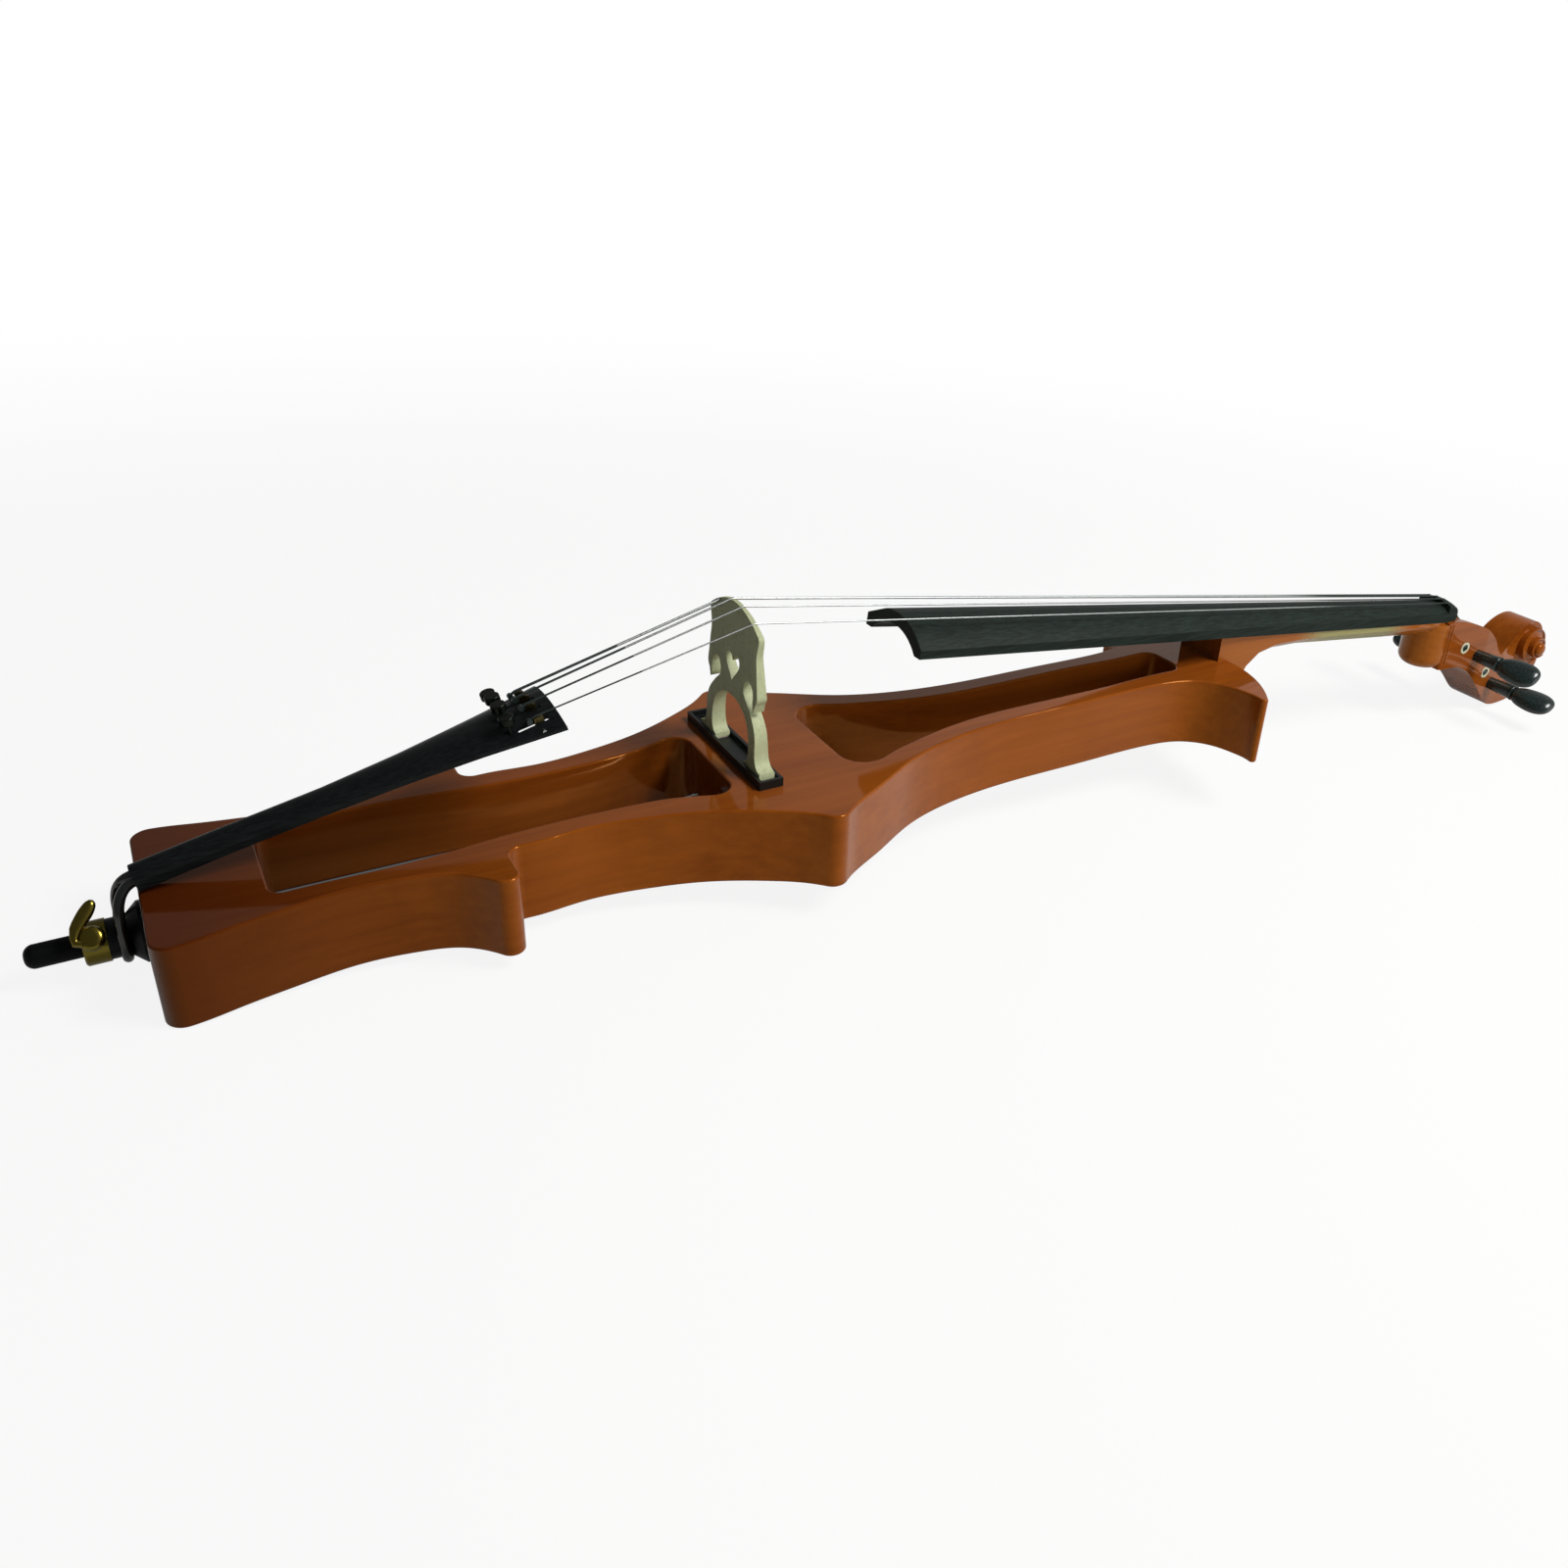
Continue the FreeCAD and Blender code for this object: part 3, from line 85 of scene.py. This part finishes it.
# Amber gloss lacquer over maple: red-brown, with painted shade that darkens it towards the tail,
# lengthwise grain, small light flecks, a wet shine whose reflections take the amber of the lacquer
def lacquered_maple(name, dark, light):
    finish, tree = new_finish(name)
    grain = add(tree, "TexNoise", Vector=pattern_place(tree, (240, 7, 7)), Scale=1.0,
                Detail=7.0, Roughness=0.62).outputs["Fac"]
    cloud = add(tree, "TexNoise", Vector=pattern_place(tree, (160, 60, 60)), Scale=1.0,
                Detail=2.0).outputs["Fac"]
    ray = add(tree, "TexNoise", Vector=pattern_place(tree, (18, 4, 40)), Scale=1.0,
              Detail=3.0).outputs["Fac"]
    wide = add(tree, "MapRange", Value=grain, From_Min=0.3, From_Max=0.7).outputs[0]
    colour = add(tree, "Mix", data_type="RGBA", S0=wide, S6=paint(dark),
                 S7=paint(light)).outputs[2]
    patch = add(tree, "MapRange", Value=cloud, From_Min=0.35, From_Max=0.7, To_Max=0.3).outputs[0]
    colour = add(tree, "Mix", data_type="RGBA", S0=patch, S6=colour,
                 S7=paint("#8A4A12")).outputs[2]
    flecks = add(tree, "MapRange", Value=ray, From_Min=0.55, From_Max=0.75, To_Max=0.16).outputs[0]
    colour = add(tree, "Mix", data_type="RGBA", S0=flecks, S6=colour,
                 S7=paint("#5A2A0A")).outputs[2]
    # Painted shade: the colour sinks to a near-black red-brown over the tail end, where less light falls
    where = add(tree, "TexCoord").outputs["Object"]
    along = add(tree, "SeparateXYZ", Vector=where).outputs[0]
    painted_tail_shade = add(tree, "MapRange", interpolation_type="SMOOTHSTEP", Value=along,
               From_Min=-0.12, From_Max=-0.39, To_Min=0.0, To_Max=0.85).outputs[0]
    colour = add(tree, "Mix", data_type="RGBA", S0=painted_tail_shade, S6=colour,
                 S7=paint("#340E03")).outputs[2]
    waves = add(tree, "TexNoise", Vector=pattern_place(tree, (35, 35, 35)), Scale=1.0).outputs["Fac"]
    relief = add(tree, "Bump", Height=waves, Strength=0.12, Distance=0.0006).outputs[0]
    shader = add(tree, "BsdfPrincipled", Base_Color=colour, Roughness=0.07, IOR=1.5,
                 Specular_Tint=paint("#FFA850"), Normal=relief)
    add(tree, "OutputMaterial", Surface=shader.outputs[0])
    return finish


# The neck is lacquered at both ends and left as pale oiled maple where the hand slides
def half_bare_neck():
    finish, tree = new_finish("lacquered_and_oiled_maple")
    where = add(tree, "TexCoord").outputs["Object"]
    along = add(tree, "SeparateXYZ", Vector=where).outputs[0]
    grain = add(tree, "TexNoise", Vector=pattern_place(tree, (160, 5, 5)), Scale=1.0,
                Detail=6.0).outputs["Fac"]
    bare = add(tree, "Mix", data_type="RGBA", S0=grain, S6=paint("#6C6A42"),
               S7=paint("#7E7C54")).outputs[2]
    dark = add(tree, "Mix", data_type="RGBA", S0=grain, S6=paint("#6E360C"),
               S7=paint("#8A4E18")).outputs[2]
    start = add(tree, "MapRange", interpolation_type="SMOOTHSTEP", Value=along, From_Min=0.49,
                From_Max=0.535).outputs[0]
    end = add(tree, "MapRange", interpolation_type="SMOOTHSTEP", Value=along, From_Min=0.64,
              From_Max=0.605).outputs[0]
    share = add(tree, "Math", operation="MULTIPLY", S0=start, S1=end).outputs[0]
    rough = add(tree, "MapRange", Value=share, To_Min=0.08, To_Max=0.4).outputs[0]
    colour = add(tree, "Mix", data_type="RGBA", S0=share, S6=dark, S7=bare).outputs[2]
    shader = add(tree, "BsdfPrincipled", Base_Color=colour, Roughness=rough, IOR=1.5,
                 Specular_Tint=paint("#FFB468"))
    add(tree, "OutputMaterial", Surface=shader.outputs[0])
    return finish


# Ebony, scraped and oiled: near black, greenish in the light, with fine pores along the wood
def ebony(name, base, pore, roughness, shine):
    finish, tree = new_finish(name)
    grain = add(tree, "TexNoise", Vector=pattern_place(tree, (110, 1.4, 1.4)), Scale=1.0,
                Detail=6.0, Roughness=0.75).outputs["Fac"]
    share = add(tree, "MapRange", Value=grain, From_Min=0.42, From_Max=0.72).outputs[0]
    colour = add(tree, "Mix", data_type="RGBA", S0=share, S6=paint(base),
                 S7=paint(pore)).outputs[2]
    relief = add(tree, "Bump", Height=grain, Strength=0.2, Distance=0.0002).outputs[0]
    shader = add(tree, "BsdfPrincipled", Base_Color=colour, Roughness=roughness, IOR=1.5,
                 Specular_IOR_Level=shine, Normal=relief)
    add(tree, "OutputMaterial", Surface=shader.outputs[0])
    return finish


# Unvarnished maple of the bridge: grey-straw, upright grain and short dark flecks
def bare_maple():
    finish, tree = new_finish("unvarnished_maple")
    grain = add(tree, "TexNoise", Vector=pattern_place(tree, (3, 2.2, 55)), Scale=1.0,
                Detail=6.0, Roughness=0.65).outputs["Fac"]
    fleck = add(tree, "TexNoise", Vector=pattern_place(tree, (1.2, 4.5, 1.3)), Scale=1.0,
                Detail=2.0).outputs["Fac"]
    colour = add(tree, "Mix", data_type="RGBA", S0=grain, S6=paint("#8A9070"),
                 S7=paint("#AEB28C")).outputs[2]
    share = add(tree, "MapRange", Value=fleck, From_Min=0.58, From_Max=0.72, To_Max=0.4).outputs[0]
    relief = add(tree, "Bump", Height=grain, Strength=0.15, Distance=0.0002).outputs[0]
    colour = add(tree, "Mix", data_type="RGBA", S0=share, S6=colour,
                 S7=paint("#5E5E3E")).outputs[2]
    shader = add(tree, "BsdfPrincipled", Base_Color=colour, Roughness=0.6, IOR=1.45,
                 Specular_IOR_Level=0.3, Normal=relief)
    add(tree, "OutputMaterial", Surface=shader.outputs[0])
    return finish


# Moulded plastic or rubber with a fine even texture
def moulded(name, code, roughness, grit=0.4, shine=0.5):
    finish, tree = new_finish(name)
    grains = add(tree, "TexNoise", Vector=pattern_place(tree, (grit, grit, grit)), Scale=1.0,
                 Detail=2.0).outputs["Fac"]
    relief = add(tree, "Bump", Height=grains, Strength=0.1, Distance=0.0001).outputs[0]
    shader = add(tree, "BsdfPrincipled", Base_Color=paint(code), Roughness=roughness, IOR=1.5,
                 Specular_IOR_Level=shine, Normal=relief)
    add(tree, "OutputMaterial", Surface=shader.outputs[0])
    return finish


# Metal with faint turning or drawing marks
def metal(name, code, roughness, marks=(40, 0.4, 0.4)):
    finish, tree = new_finish(name)
    lines = add(tree, "TexNoise", Vector=pattern_place(tree, marks), Scale=1.0,
                Detail=3.0).outputs["Fac"]
    rough = add(tree, "MapRange", Value=lines, To_Min=roughness * 0.7,
                To_Max=roughness * 1.3).outputs[0]
    shader = add(tree, "BsdfPrincipled", Base_Color=paint(code), Metallic=1.0, Roughness=rough)
    add(tree, "OutputMaterial", Surface=shader.outputs[0])
    return finish


# Flat wound steel string with black silk wrapping near the tuners and near the pegs. The winding
# is drawn as uneven light and dark streaks, 0.8 mm long
def string_finish():
    finish, tree = new_finish("flat_wound_steel_and_silk")
    where = add(tree, "TexCoord").outputs["Object"]
    along = add(tree, "SeparateXYZ", Vector=where).outputs[0]
    winding = add(tree, "TexNoise", Vector=pattern_place(tree, (0.8, 60, 60)), Scale=1.0,
                  Detail=2.0).outputs["Fac"]
    steel = add(tree, "Mix", data_type="RGBA", S0=winding, S6=paint("#8E9391"),
                S7=paint("#C5C9C7")).outputs[2]
    tail = add(tree, "Math", operation="LESS_THAN", S0=along, S1=-0.075).outputs[0]
    head = add(tree, "MapRange", interpolation_type="SMOOTHSTEP", Value=along, From_Min=0.47,
               From_Max=0.56).outputs[0]
    silk = add(tree, "Math", operation="ADD", S0=tail, S1=head).outputs[0]
    colour = add(tree, "Mix", data_type="RGBA", S0=silk, S6=steel,
                 S7=paint("#16201D")).outputs[2]
    bare = add(tree, "Math", operation="SUBTRACT", S0=1.0, S1=silk).outputs[0]
    shader = add(tree, "BsdfPrincipled", Base_Color=colour, Metallic=bare, Roughness=0.4)
    add(tree, "OutputMaterial", Surface=shader.outputs[0])
    return finish


FINISHES = {
    "lacquered_wood": lacquered_maple("amber_lacquered_maple", "#642E08", "#783C0E"),
    "neck": half_bare_neck(),
    "ebony": ebony("oiled_ebony", "#08090A", "#161B1B", 0.36, 0.12),
    "board_ebony": ebony("scraped_ebony", "#101613", "#222C27", 0.5, 0.07),
    "peg_ebony": ebony("polished_ebony", "#0E1615", "#26322F", 0.2, 0.4),
    "maple": bare_maple(),
    "black_plastic": moulded("satin_black_abs", "#0E1110", 0.4, 0.4, 0.3),
    "blackened_brass": metal("blackened_brass", "#20241F", 0.35, (0.4, 0.4, 4)),
    "brass": metal("polished_brass", "#6A5E26", 0.2),
    "aged_brass": metal("aged_brass", "#5A5030", 0.3, (2, 2, 2)),
    "piezo_ceramic": moulded("pressed_ceramic", "#8C8272", 0.7),
    "steel": metal("drawn_steel", "#A9ACAE", 0.2),
    "plated_steel": metal("nickel_plated_steel", "#C8C8C2", 0.15),
    "rubber": moulded("moulded_rubber", "#040505", 0.5, 0.6, 0.08),
    "nylon_cord": moulded("smooth_nylon", "#0A0C0C", 0.15, 3.0, 0.6),
    "pale_plastic": moulded("ivory_acetal", "#A8A68C", 0.3),
    "string_steel": string_finish(),
    "circuit_board": moulded("green_solder_mask", "#1C6B3A", 0.3),
    "battery_case": metal("lacquered_tinplate", "#3A3A40", 0.3),
}
SPECIAL = {"neck": "neck", "fingerboard": "board_ebony", "nut": "board_ebony"}
for letter in STRINGS:
    SPECIAL["peg_" + letter] = "peg_ebony"
    SPECIAL["tuner_lever_" + letter] = "aged_brass"
slots = {row["node"]: row["material_slot"] for row in frame["record"]["subparts"]}
for name, node in cad.items():
    node.data.materials.clear()
    node.data.materials.append(FINISHES[SPECIAL.get(name, slots[name])])


# A finished mesh becomes a piece of the cello that moves with one of its bodies
def make_piece(name, shape, finish, body, smooth=40):
    bmesh.ops.recalc_face_normals(shape, faces=shape.faces)
    mesh = bpy.data.meshes.new(name)
    shape.to_mesh(mesh)
    shape.free()
    piece = bpy.data.objects.new(name, mesh)
    bpy.context.scene.collection.objects.link(piece)
    mesh.materials.append(finish)
    mesh.polygons.foreach_set("use_smooth", [True] * len(mesh.polygons))
    mesh.set_sharp_from_angle(angle=math.radians(smooth))
    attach(piece, body)
    return piece


# Joins rings of points into one closed skin, with a flat cap at both ends
def skin(shape, rings):
    rows = [[shape.verts.new(point) for point in ring] for ring in rings]
    count = len(rows[0])
    for first, second in zip(rows, rows[1:]):
        for place in range(count):
            after = (place + 1) % count
            shape.faces.new([first[place], first[after], second[after], second[place]])
    shape.faces.new(list(reversed(rows[0])))
    shape.faces.new(rows[-1])


SCROLL_X = 0.8225
SCROLL_Z = -0.0098
SLAB_HALF = 14 * MM
SPIRAL_RADIUS = 24.5 * MM
SPIRAL_SHRINK = 0.5
SPIRAL_TURNS = 2.3
SPIRAL_STATIONS = 110
SPIRAL_RISE = 14 * MM
SPIRAL_START = math.radians(205)
RIM = 1.3 * MM
EYE_RADIUS = 6.2 * MM


# The head with the stepped discs of its scroll pressed flat, under the carved spirals
def make_head():
    shape = bmesh.new()
    shape.from_mesh(cad["pegbox_and_scroll"].data)
    disc_reach = 21 * MM
    step_limit = SLAB_HALF + 0.05 * MM
    pressed_to = SLAB_HALF - 0.4 * MM
    for corner in shape.verts:
        away = math.hypot(corner.co.x - SCROLL_X, corner.co.z - SCROLL_Z)
        if away < disc_reach and abs(corner.co.y) > step_limit:
            corner.co.y = math.copysign(pressed_to, corner.co.y)
    head = make_piece("carved_head", shape, FINISHES["lacquered_wood"], "frame")
    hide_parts("pegbox_and_scroll")


# One side of the scroll: a rimmed ledge that winds inward as it rises, like a snail, and its eye
def make_spiral(side):
    foot_level = SLAB_HALF - 0.8 * MM
    eye_base = SLAB_HALF + SPIRAL_RISE - 1.0 * MM
    eye_height = 3.0 * MM
    eye_points = 28
    shape = bmesh.new()
    rings = []
    for station in range(SPIRAL_STATIONS + 1):
        turn = SPIRAL_TURNS * station / SPIRAL_STATIONS
        angle = SPIRAL_START + 2 * math.pi * turn
        outer = SPIRAL_RADIUS * math.exp(-SPIRAL_SHRINK * turn)
        inner = SPIRAL_RADIUS * math.exp(-SPIRAL_SHRINK * (turn + 1)) - RIM
        inner = max(inner, 0.6 * MM)
        level = SLAB_HALF + SPIRAL_RISE * (turn / SPIRAL_TURNS) ** 0.85
        slope = 0.16 * (outer - inner)
        section = [(outer, foot_level), (outer, level - 0.3 * MM), (outer - 0.4 * RIM, level + 0.25 * MM),
                   (outer - RIM, level), (outer - 1.6 * RIM, level - 0.9 * MM),
                   (0.5 * (outer + inner), level - 0.6 * MM), (inner, level - 0.6 * MM + slope),
                   (inner, foot_level)]
        rings.append([(SCROLL_X + away * math.cos(angle), side * height,
                       SCROLL_Z + away * math.sin(angle)) for away, height in section])
    skin(shape, rings)
    bands = []
    for share in (0.0, 0.3, 0.55, 0.75, 0.9, 0.985):
        width = EYE_RADIUS * math.sqrt(1 - share * share)
        height = eye_base + eye_height * share
        bands.append([(SCROLL_X + width * math.cos(math.tau * k / eye_points), side * height,
                       SCROLL_Z + width * math.sin(math.tau * k / eye_points))
                      for k in range(eye_points)])
    foot = [(x, side * foot_level, z) for x, y, z in bands[0]]
    skin(shape, [foot] + bands)
    name = "scroll_spiral_bass" if side > 0 else "scroll_spiral_treble"
    make_piece(name, shape, FINISHES["lacquered_wood"], "frame")


# Two half-round mouldings down each cheek where the head meets the neck
def make_mouldings():
    shape = bmesh.new()
    cheek = 20 * MM
    half_width = 0.9 * MM
    height = 0.8 * MM
    points = 12
    for side in (1, -1):
        for place in (0.6925, 0.6962):
            rings = []
            for z in (34.5, 30, 24, 18, 12, 6, 0, -6):
                rings.append([(place + half_width * math.cos(math.tau * k / points),
                               side * (cheek + height * math.sin(math.tau * k / points)), z * MM)
                              for k in range(points)])
            skin(shape, rings)
    make_piece("head_mouldings", shape, FINISHES["lacquered_wood"], "frame")


# Both halves of the tail cord leave the tailpiece side by side, bend down in one even arc and
# meet in the groove of the endpin plug
def make_tail_loop():
    radius = 3.0 * MM
    groove_x = -0.384
    groove_z = 0.025
    ring = 12.6 * MM
    arc_steps = 14
    loop_steps = 18
    points = 16
    route = []
    for side in (1, -1):
        inner = Vector((-0.359, side * 0.0038, 0.0632))
        mouth = Vector((-0.3722, side * 0.0038, 0.0603))
        reach = mouth + Vector((-0.0105, side * 0.0006, -0.0024))
        above = Vector((groove_x - 0.0012, side * ring, groove_z + 0.021))
        entry = Vector((groove_x, side * ring, groove_z + 0.002))
        half = [inner, inner.lerp(mouth, 0.5)]
        for station in range(arc_steps + 1):
            share = station / arc_steps
            rest = 1 - share
            half.append(mouth * rest ** 3 + reach * (3 * share * rest ** 2)
                        + above * (3 * share ** 2 * rest) + entry * share ** 3)
        if side > 0:
            route += half
            for step in range(1, loop_steps):
                angle = math.pi * step / loop_steps
                route.append(Vector((groove_x, ring * math.cos(angle),
                                     groove_z - ring * math.sin(angle))))
        else:
            route += reversed(half)
    shape = bmesh.new()
    rings = []
    across = Vector((0, 1, 0))
    for place, point in enumerate(route):
        ahead = route[min(place + 1, len(route) - 1)] - route[max(place - 1, 0)]
        ahead.normalize()
        across = (across - ahead * across.dot(ahead)).normalized()
        third = ahead.cross(across)
        rings.append([point + (across * math.cos(math.tau * k / points)
                               + third * math.sin(math.tau * k / points)) * radius
                      for k in range(points)])
    skin(shape, rings)
    loop = make_piece("smooth_tail_cord", shape, FINISHES["nylon_cord"], "frame", smooth=60)
    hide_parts("tail_cord")


# Cast thumbscrew: a turned boss on its shaft and a rounded hook of a wing, in millimetres in
# the frame of the screw, whose own Z axis leans towards the treble side
def make_cast_thumbscrew():
    shape = bmesh.new()
    hook = [(-4.5, -2.2, 2.1), (-8.2, -0.9, 2.3), (-8.1, 1.6, 2.5), (-7.4, 4.2, 2.9),
            (-6.5, 6.4, 3.5), (-5.1, 8.6, 3.7), (-3.5, 10.7, 3.8), (-1.8, 12.8, 3.9),
            (-0.1, 14.8, 3.9), (1.4, 16.7, 3.6), (2.5, 18.3, 3.2), (3.2, 19.6, 2.5),
            (3.6, 20.8, 1.2)]
    middle = 18.2
    flattest = 2.1
    hook_points = 24
    boss_points = 36
    lean_angle = math.radians(49.7)
    shaft_centre = (-0.3989963, 0, 0.025)
    rings = []
    for place, (x, y, half) in enumerate(hook):
        before = hook[max(place - 1, 0)]
        after = hook[min(place + 1, len(hook) - 1)]
        way = Vector((after[0] - before[0], after[1] - before[1])).normalized()
        depth = min(flattest, half)
        rings.append([(x - way.y * half * math.cos(math.tau * k / hook_points),
                       y + way.x * half * math.cos(math.tau * k / hook_points),
                       middle + depth * math.sin(math.tau * k / hook_points))
                      for k in range(hook_points)])
    skin(shape, rings)
    turned = [(2.0, 5.4), (2.0, 13.2), (5.6, 13.2), (6.7, 14.2), (7.1, 15.8), (7.0, 17.6),
              (6.2, 19.2), (4.8, 20.0), (2.6, 20.2), (0.5, 20.2)]
    skin(shape, [[(radius * math.cos(math.tau * k / boss_points),
                   radius * math.sin(math.tau * k / boss_points), z)
                  for k in range(boss_points)] for radius, z in turned])
    lean = Matrix.Rotation(lean_angle, 4, "X")
    shape.transform(Matrix.Translation(shaft_centre) @ lean @ Matrix.Scale(MM, 4))
    screw = make_piece("cast_thumbscrew", shape, FINISHES["brass"], "thumbscrew", smooth=50)
    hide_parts("endpin_thumbscrew")


make_head()
for side in (1, -1):
    make_spiral(side)
make_mouldings()
make_tail_loop()
make_cast_thumbscrew()


# How much of the white page a ray sees: all of it from the camera, less in a mirroring surface
def seen_page(tree, mirrored):
    rays = add(tree, "LightPath").outputs
    straight = add(tree, "Math", operation="MAXIMUM", S0=rays["Is Camera Ray"],
                   S1=rays["Is Transmission Ray"]).outputs[0]
    glossy = add(tree, "Math", operation="MULTIPLY", S0=rays["Is Glossy Ray"], S1=mirrored)
    return add(tree, "Math", operation="MAXIMUM", S0=straight, S1=glossy.outputs[0]).outputs[0]


# White paper floor under the two places where the cello rests, its tail edge and its pegbox
# back. Most of its white is its own, so the page stays white and the shadow stays faint.
def make_floor():
    mesh = bpy.data.meshes.new("floor")
    plane = bmesh.new()
    reach = 14.0
    tail_edge = -0.372
    head_rest = 0.745
    head_drop = 0.064
    corners = [(-reach, -reach, 0), (reach, -reach, 0), (reach, reach, 0), (-reach, reach, 0)]
    plane.faces.new([plane.verts.new(corner) for corner in corners])
    slope = math.atan2(head_drop, head_rest - tail_edge)
    plane.transform(Matrix.Translation((tail_edge, 0, 0)) @ Matrix.Rotation(slope, 4, "Y"))
    plane.to_mesh(mesh)
    plane.free()
    floor = bpy.data.objects.new("floor", mesh)
    bpy.context.scene.collection.objects.link(floor)
    finish, tree = new_finish("white_paper")
    where = add(tree, "TexCoord").outputs["Object"]
    far = add(tree, "VectorMath", operation="LENGTH", S0=where).outputs["Value"]
    page = add(tree, "MapRange", interpolation_type="SMOOTHSTEP", Value=far, From_Min=0.6,
               From_Max=2.2, To_Min=0.88, To_Max=1.0).outputs[0]
    share = add(tree, "Math", operation="MULTIPLY", S0=seen_page(tree, 0.3), S1=page).outputs[0]
    paper = add(tree, "BsdfDiffuse", Color=paint("#C4C4C0"))
    white = add(tree, "Emission", Color=paint("#FFFFFF"), Strength=1.0)
    shader = add(tree, "MixShader", S0=share, S1=paper.outputs[0], S2=white.outputs[0])
    add(tree, "OutputMaterial", Surface=shader.outputs[0])
    mesh.materials.append(finish)


make_floor()


# The fills aren't mirrored in the lacquer, as walls behind them aren't
def make_light(name, place, aim, size, power, mirrored=True):
    lamp = bpy.data.lights.new(name, "AREA")
    lamp.shape = "DISK"
    lamp.size = size
    lamp.energy = power
    holder = bpy.data.objects.new(name, lamp)
    holder.visible_glossy = mirrored
    holder.location = place
    holder.rotation_mode = "QUATERNION"
    holder.rotation_quaternion = (Vector(aim) - Vector(place)).to_track_quat("-Z", "Y")
    bpy.context.scene.collection.objects.link(holder)


make_light("key", (0.95, -0.8, 1.42), (0.4, 0, 0), 0.8, 40)
make_light("front", (0.7, -1.8, 0.5), (0.3, 0, 0), 1.2, 14, mirrored=False)
make_light("back_fill", (0.2, 1.9, 0.9), (0.2, 0, 0), 1.4, 3, mirrored=False)


# A dim studio that brightens towards the scroll side, and plain white to the camera
def make_surround():
    world = bpy.data.worlds.new("studio")
    world.use_nodes = True
    tree = world.node_tree
    tree.nodes.clear()
    way = add(tree, "TexCoord").outputs["Generated"]
    side = add(tree, "SeparateXYZ", Vector=way).outputs["X"]
    wall = add(tree, "MapRange", interpolation_type="SMOOTHSTEP", Value=side, From_Min=0.0,
               From_Max=0.8, To_Min=0.1, To_Max=0.5).outputs[0]
    strength = add(tree, "Mix", data_type="FLOAT", S0=seen_page(tree, 0.1), S2=wall,
                   S3=1.0).outputs[0]
    surround = add(tree, "Background", Color=paint("#FFFFFF"), Strength=strength)
    add(tree, "OutputWorld", Surface=surround.outputs[0])
    bpy.context.scene.world = world


make_surround()

# Camera at the place found for the photograph
right = Vector((0.88688988, -0.46151132, 0.02082406))
up = Vector((0.19968833, 0.42361016, 0.88356041))
back = -Vector((0.41659442, 0.77946247, -0.46785399))
lens = bpy.data.cameras.new("camera")
lens.sensor_width = 36.0
lens.lens = 30.6216
lens.shift_y = -0.02115
lens.clip_start = 0.01
lens.clip_end = 100.0
camera = bpy.data.objects.new("camera", lens)
turn = Matrix((right, up, back)).transposed().to_4x4()
camera.matrix_world = Matrix.Translation((-0.3463924, -0.7148461, 0.4771270)) @ turn
bpy.context.scene.collection.objects.link(camera)
bpy.context.scene.camera = camera
bpy.context.scene.view_settings.view_transform = "Standard"
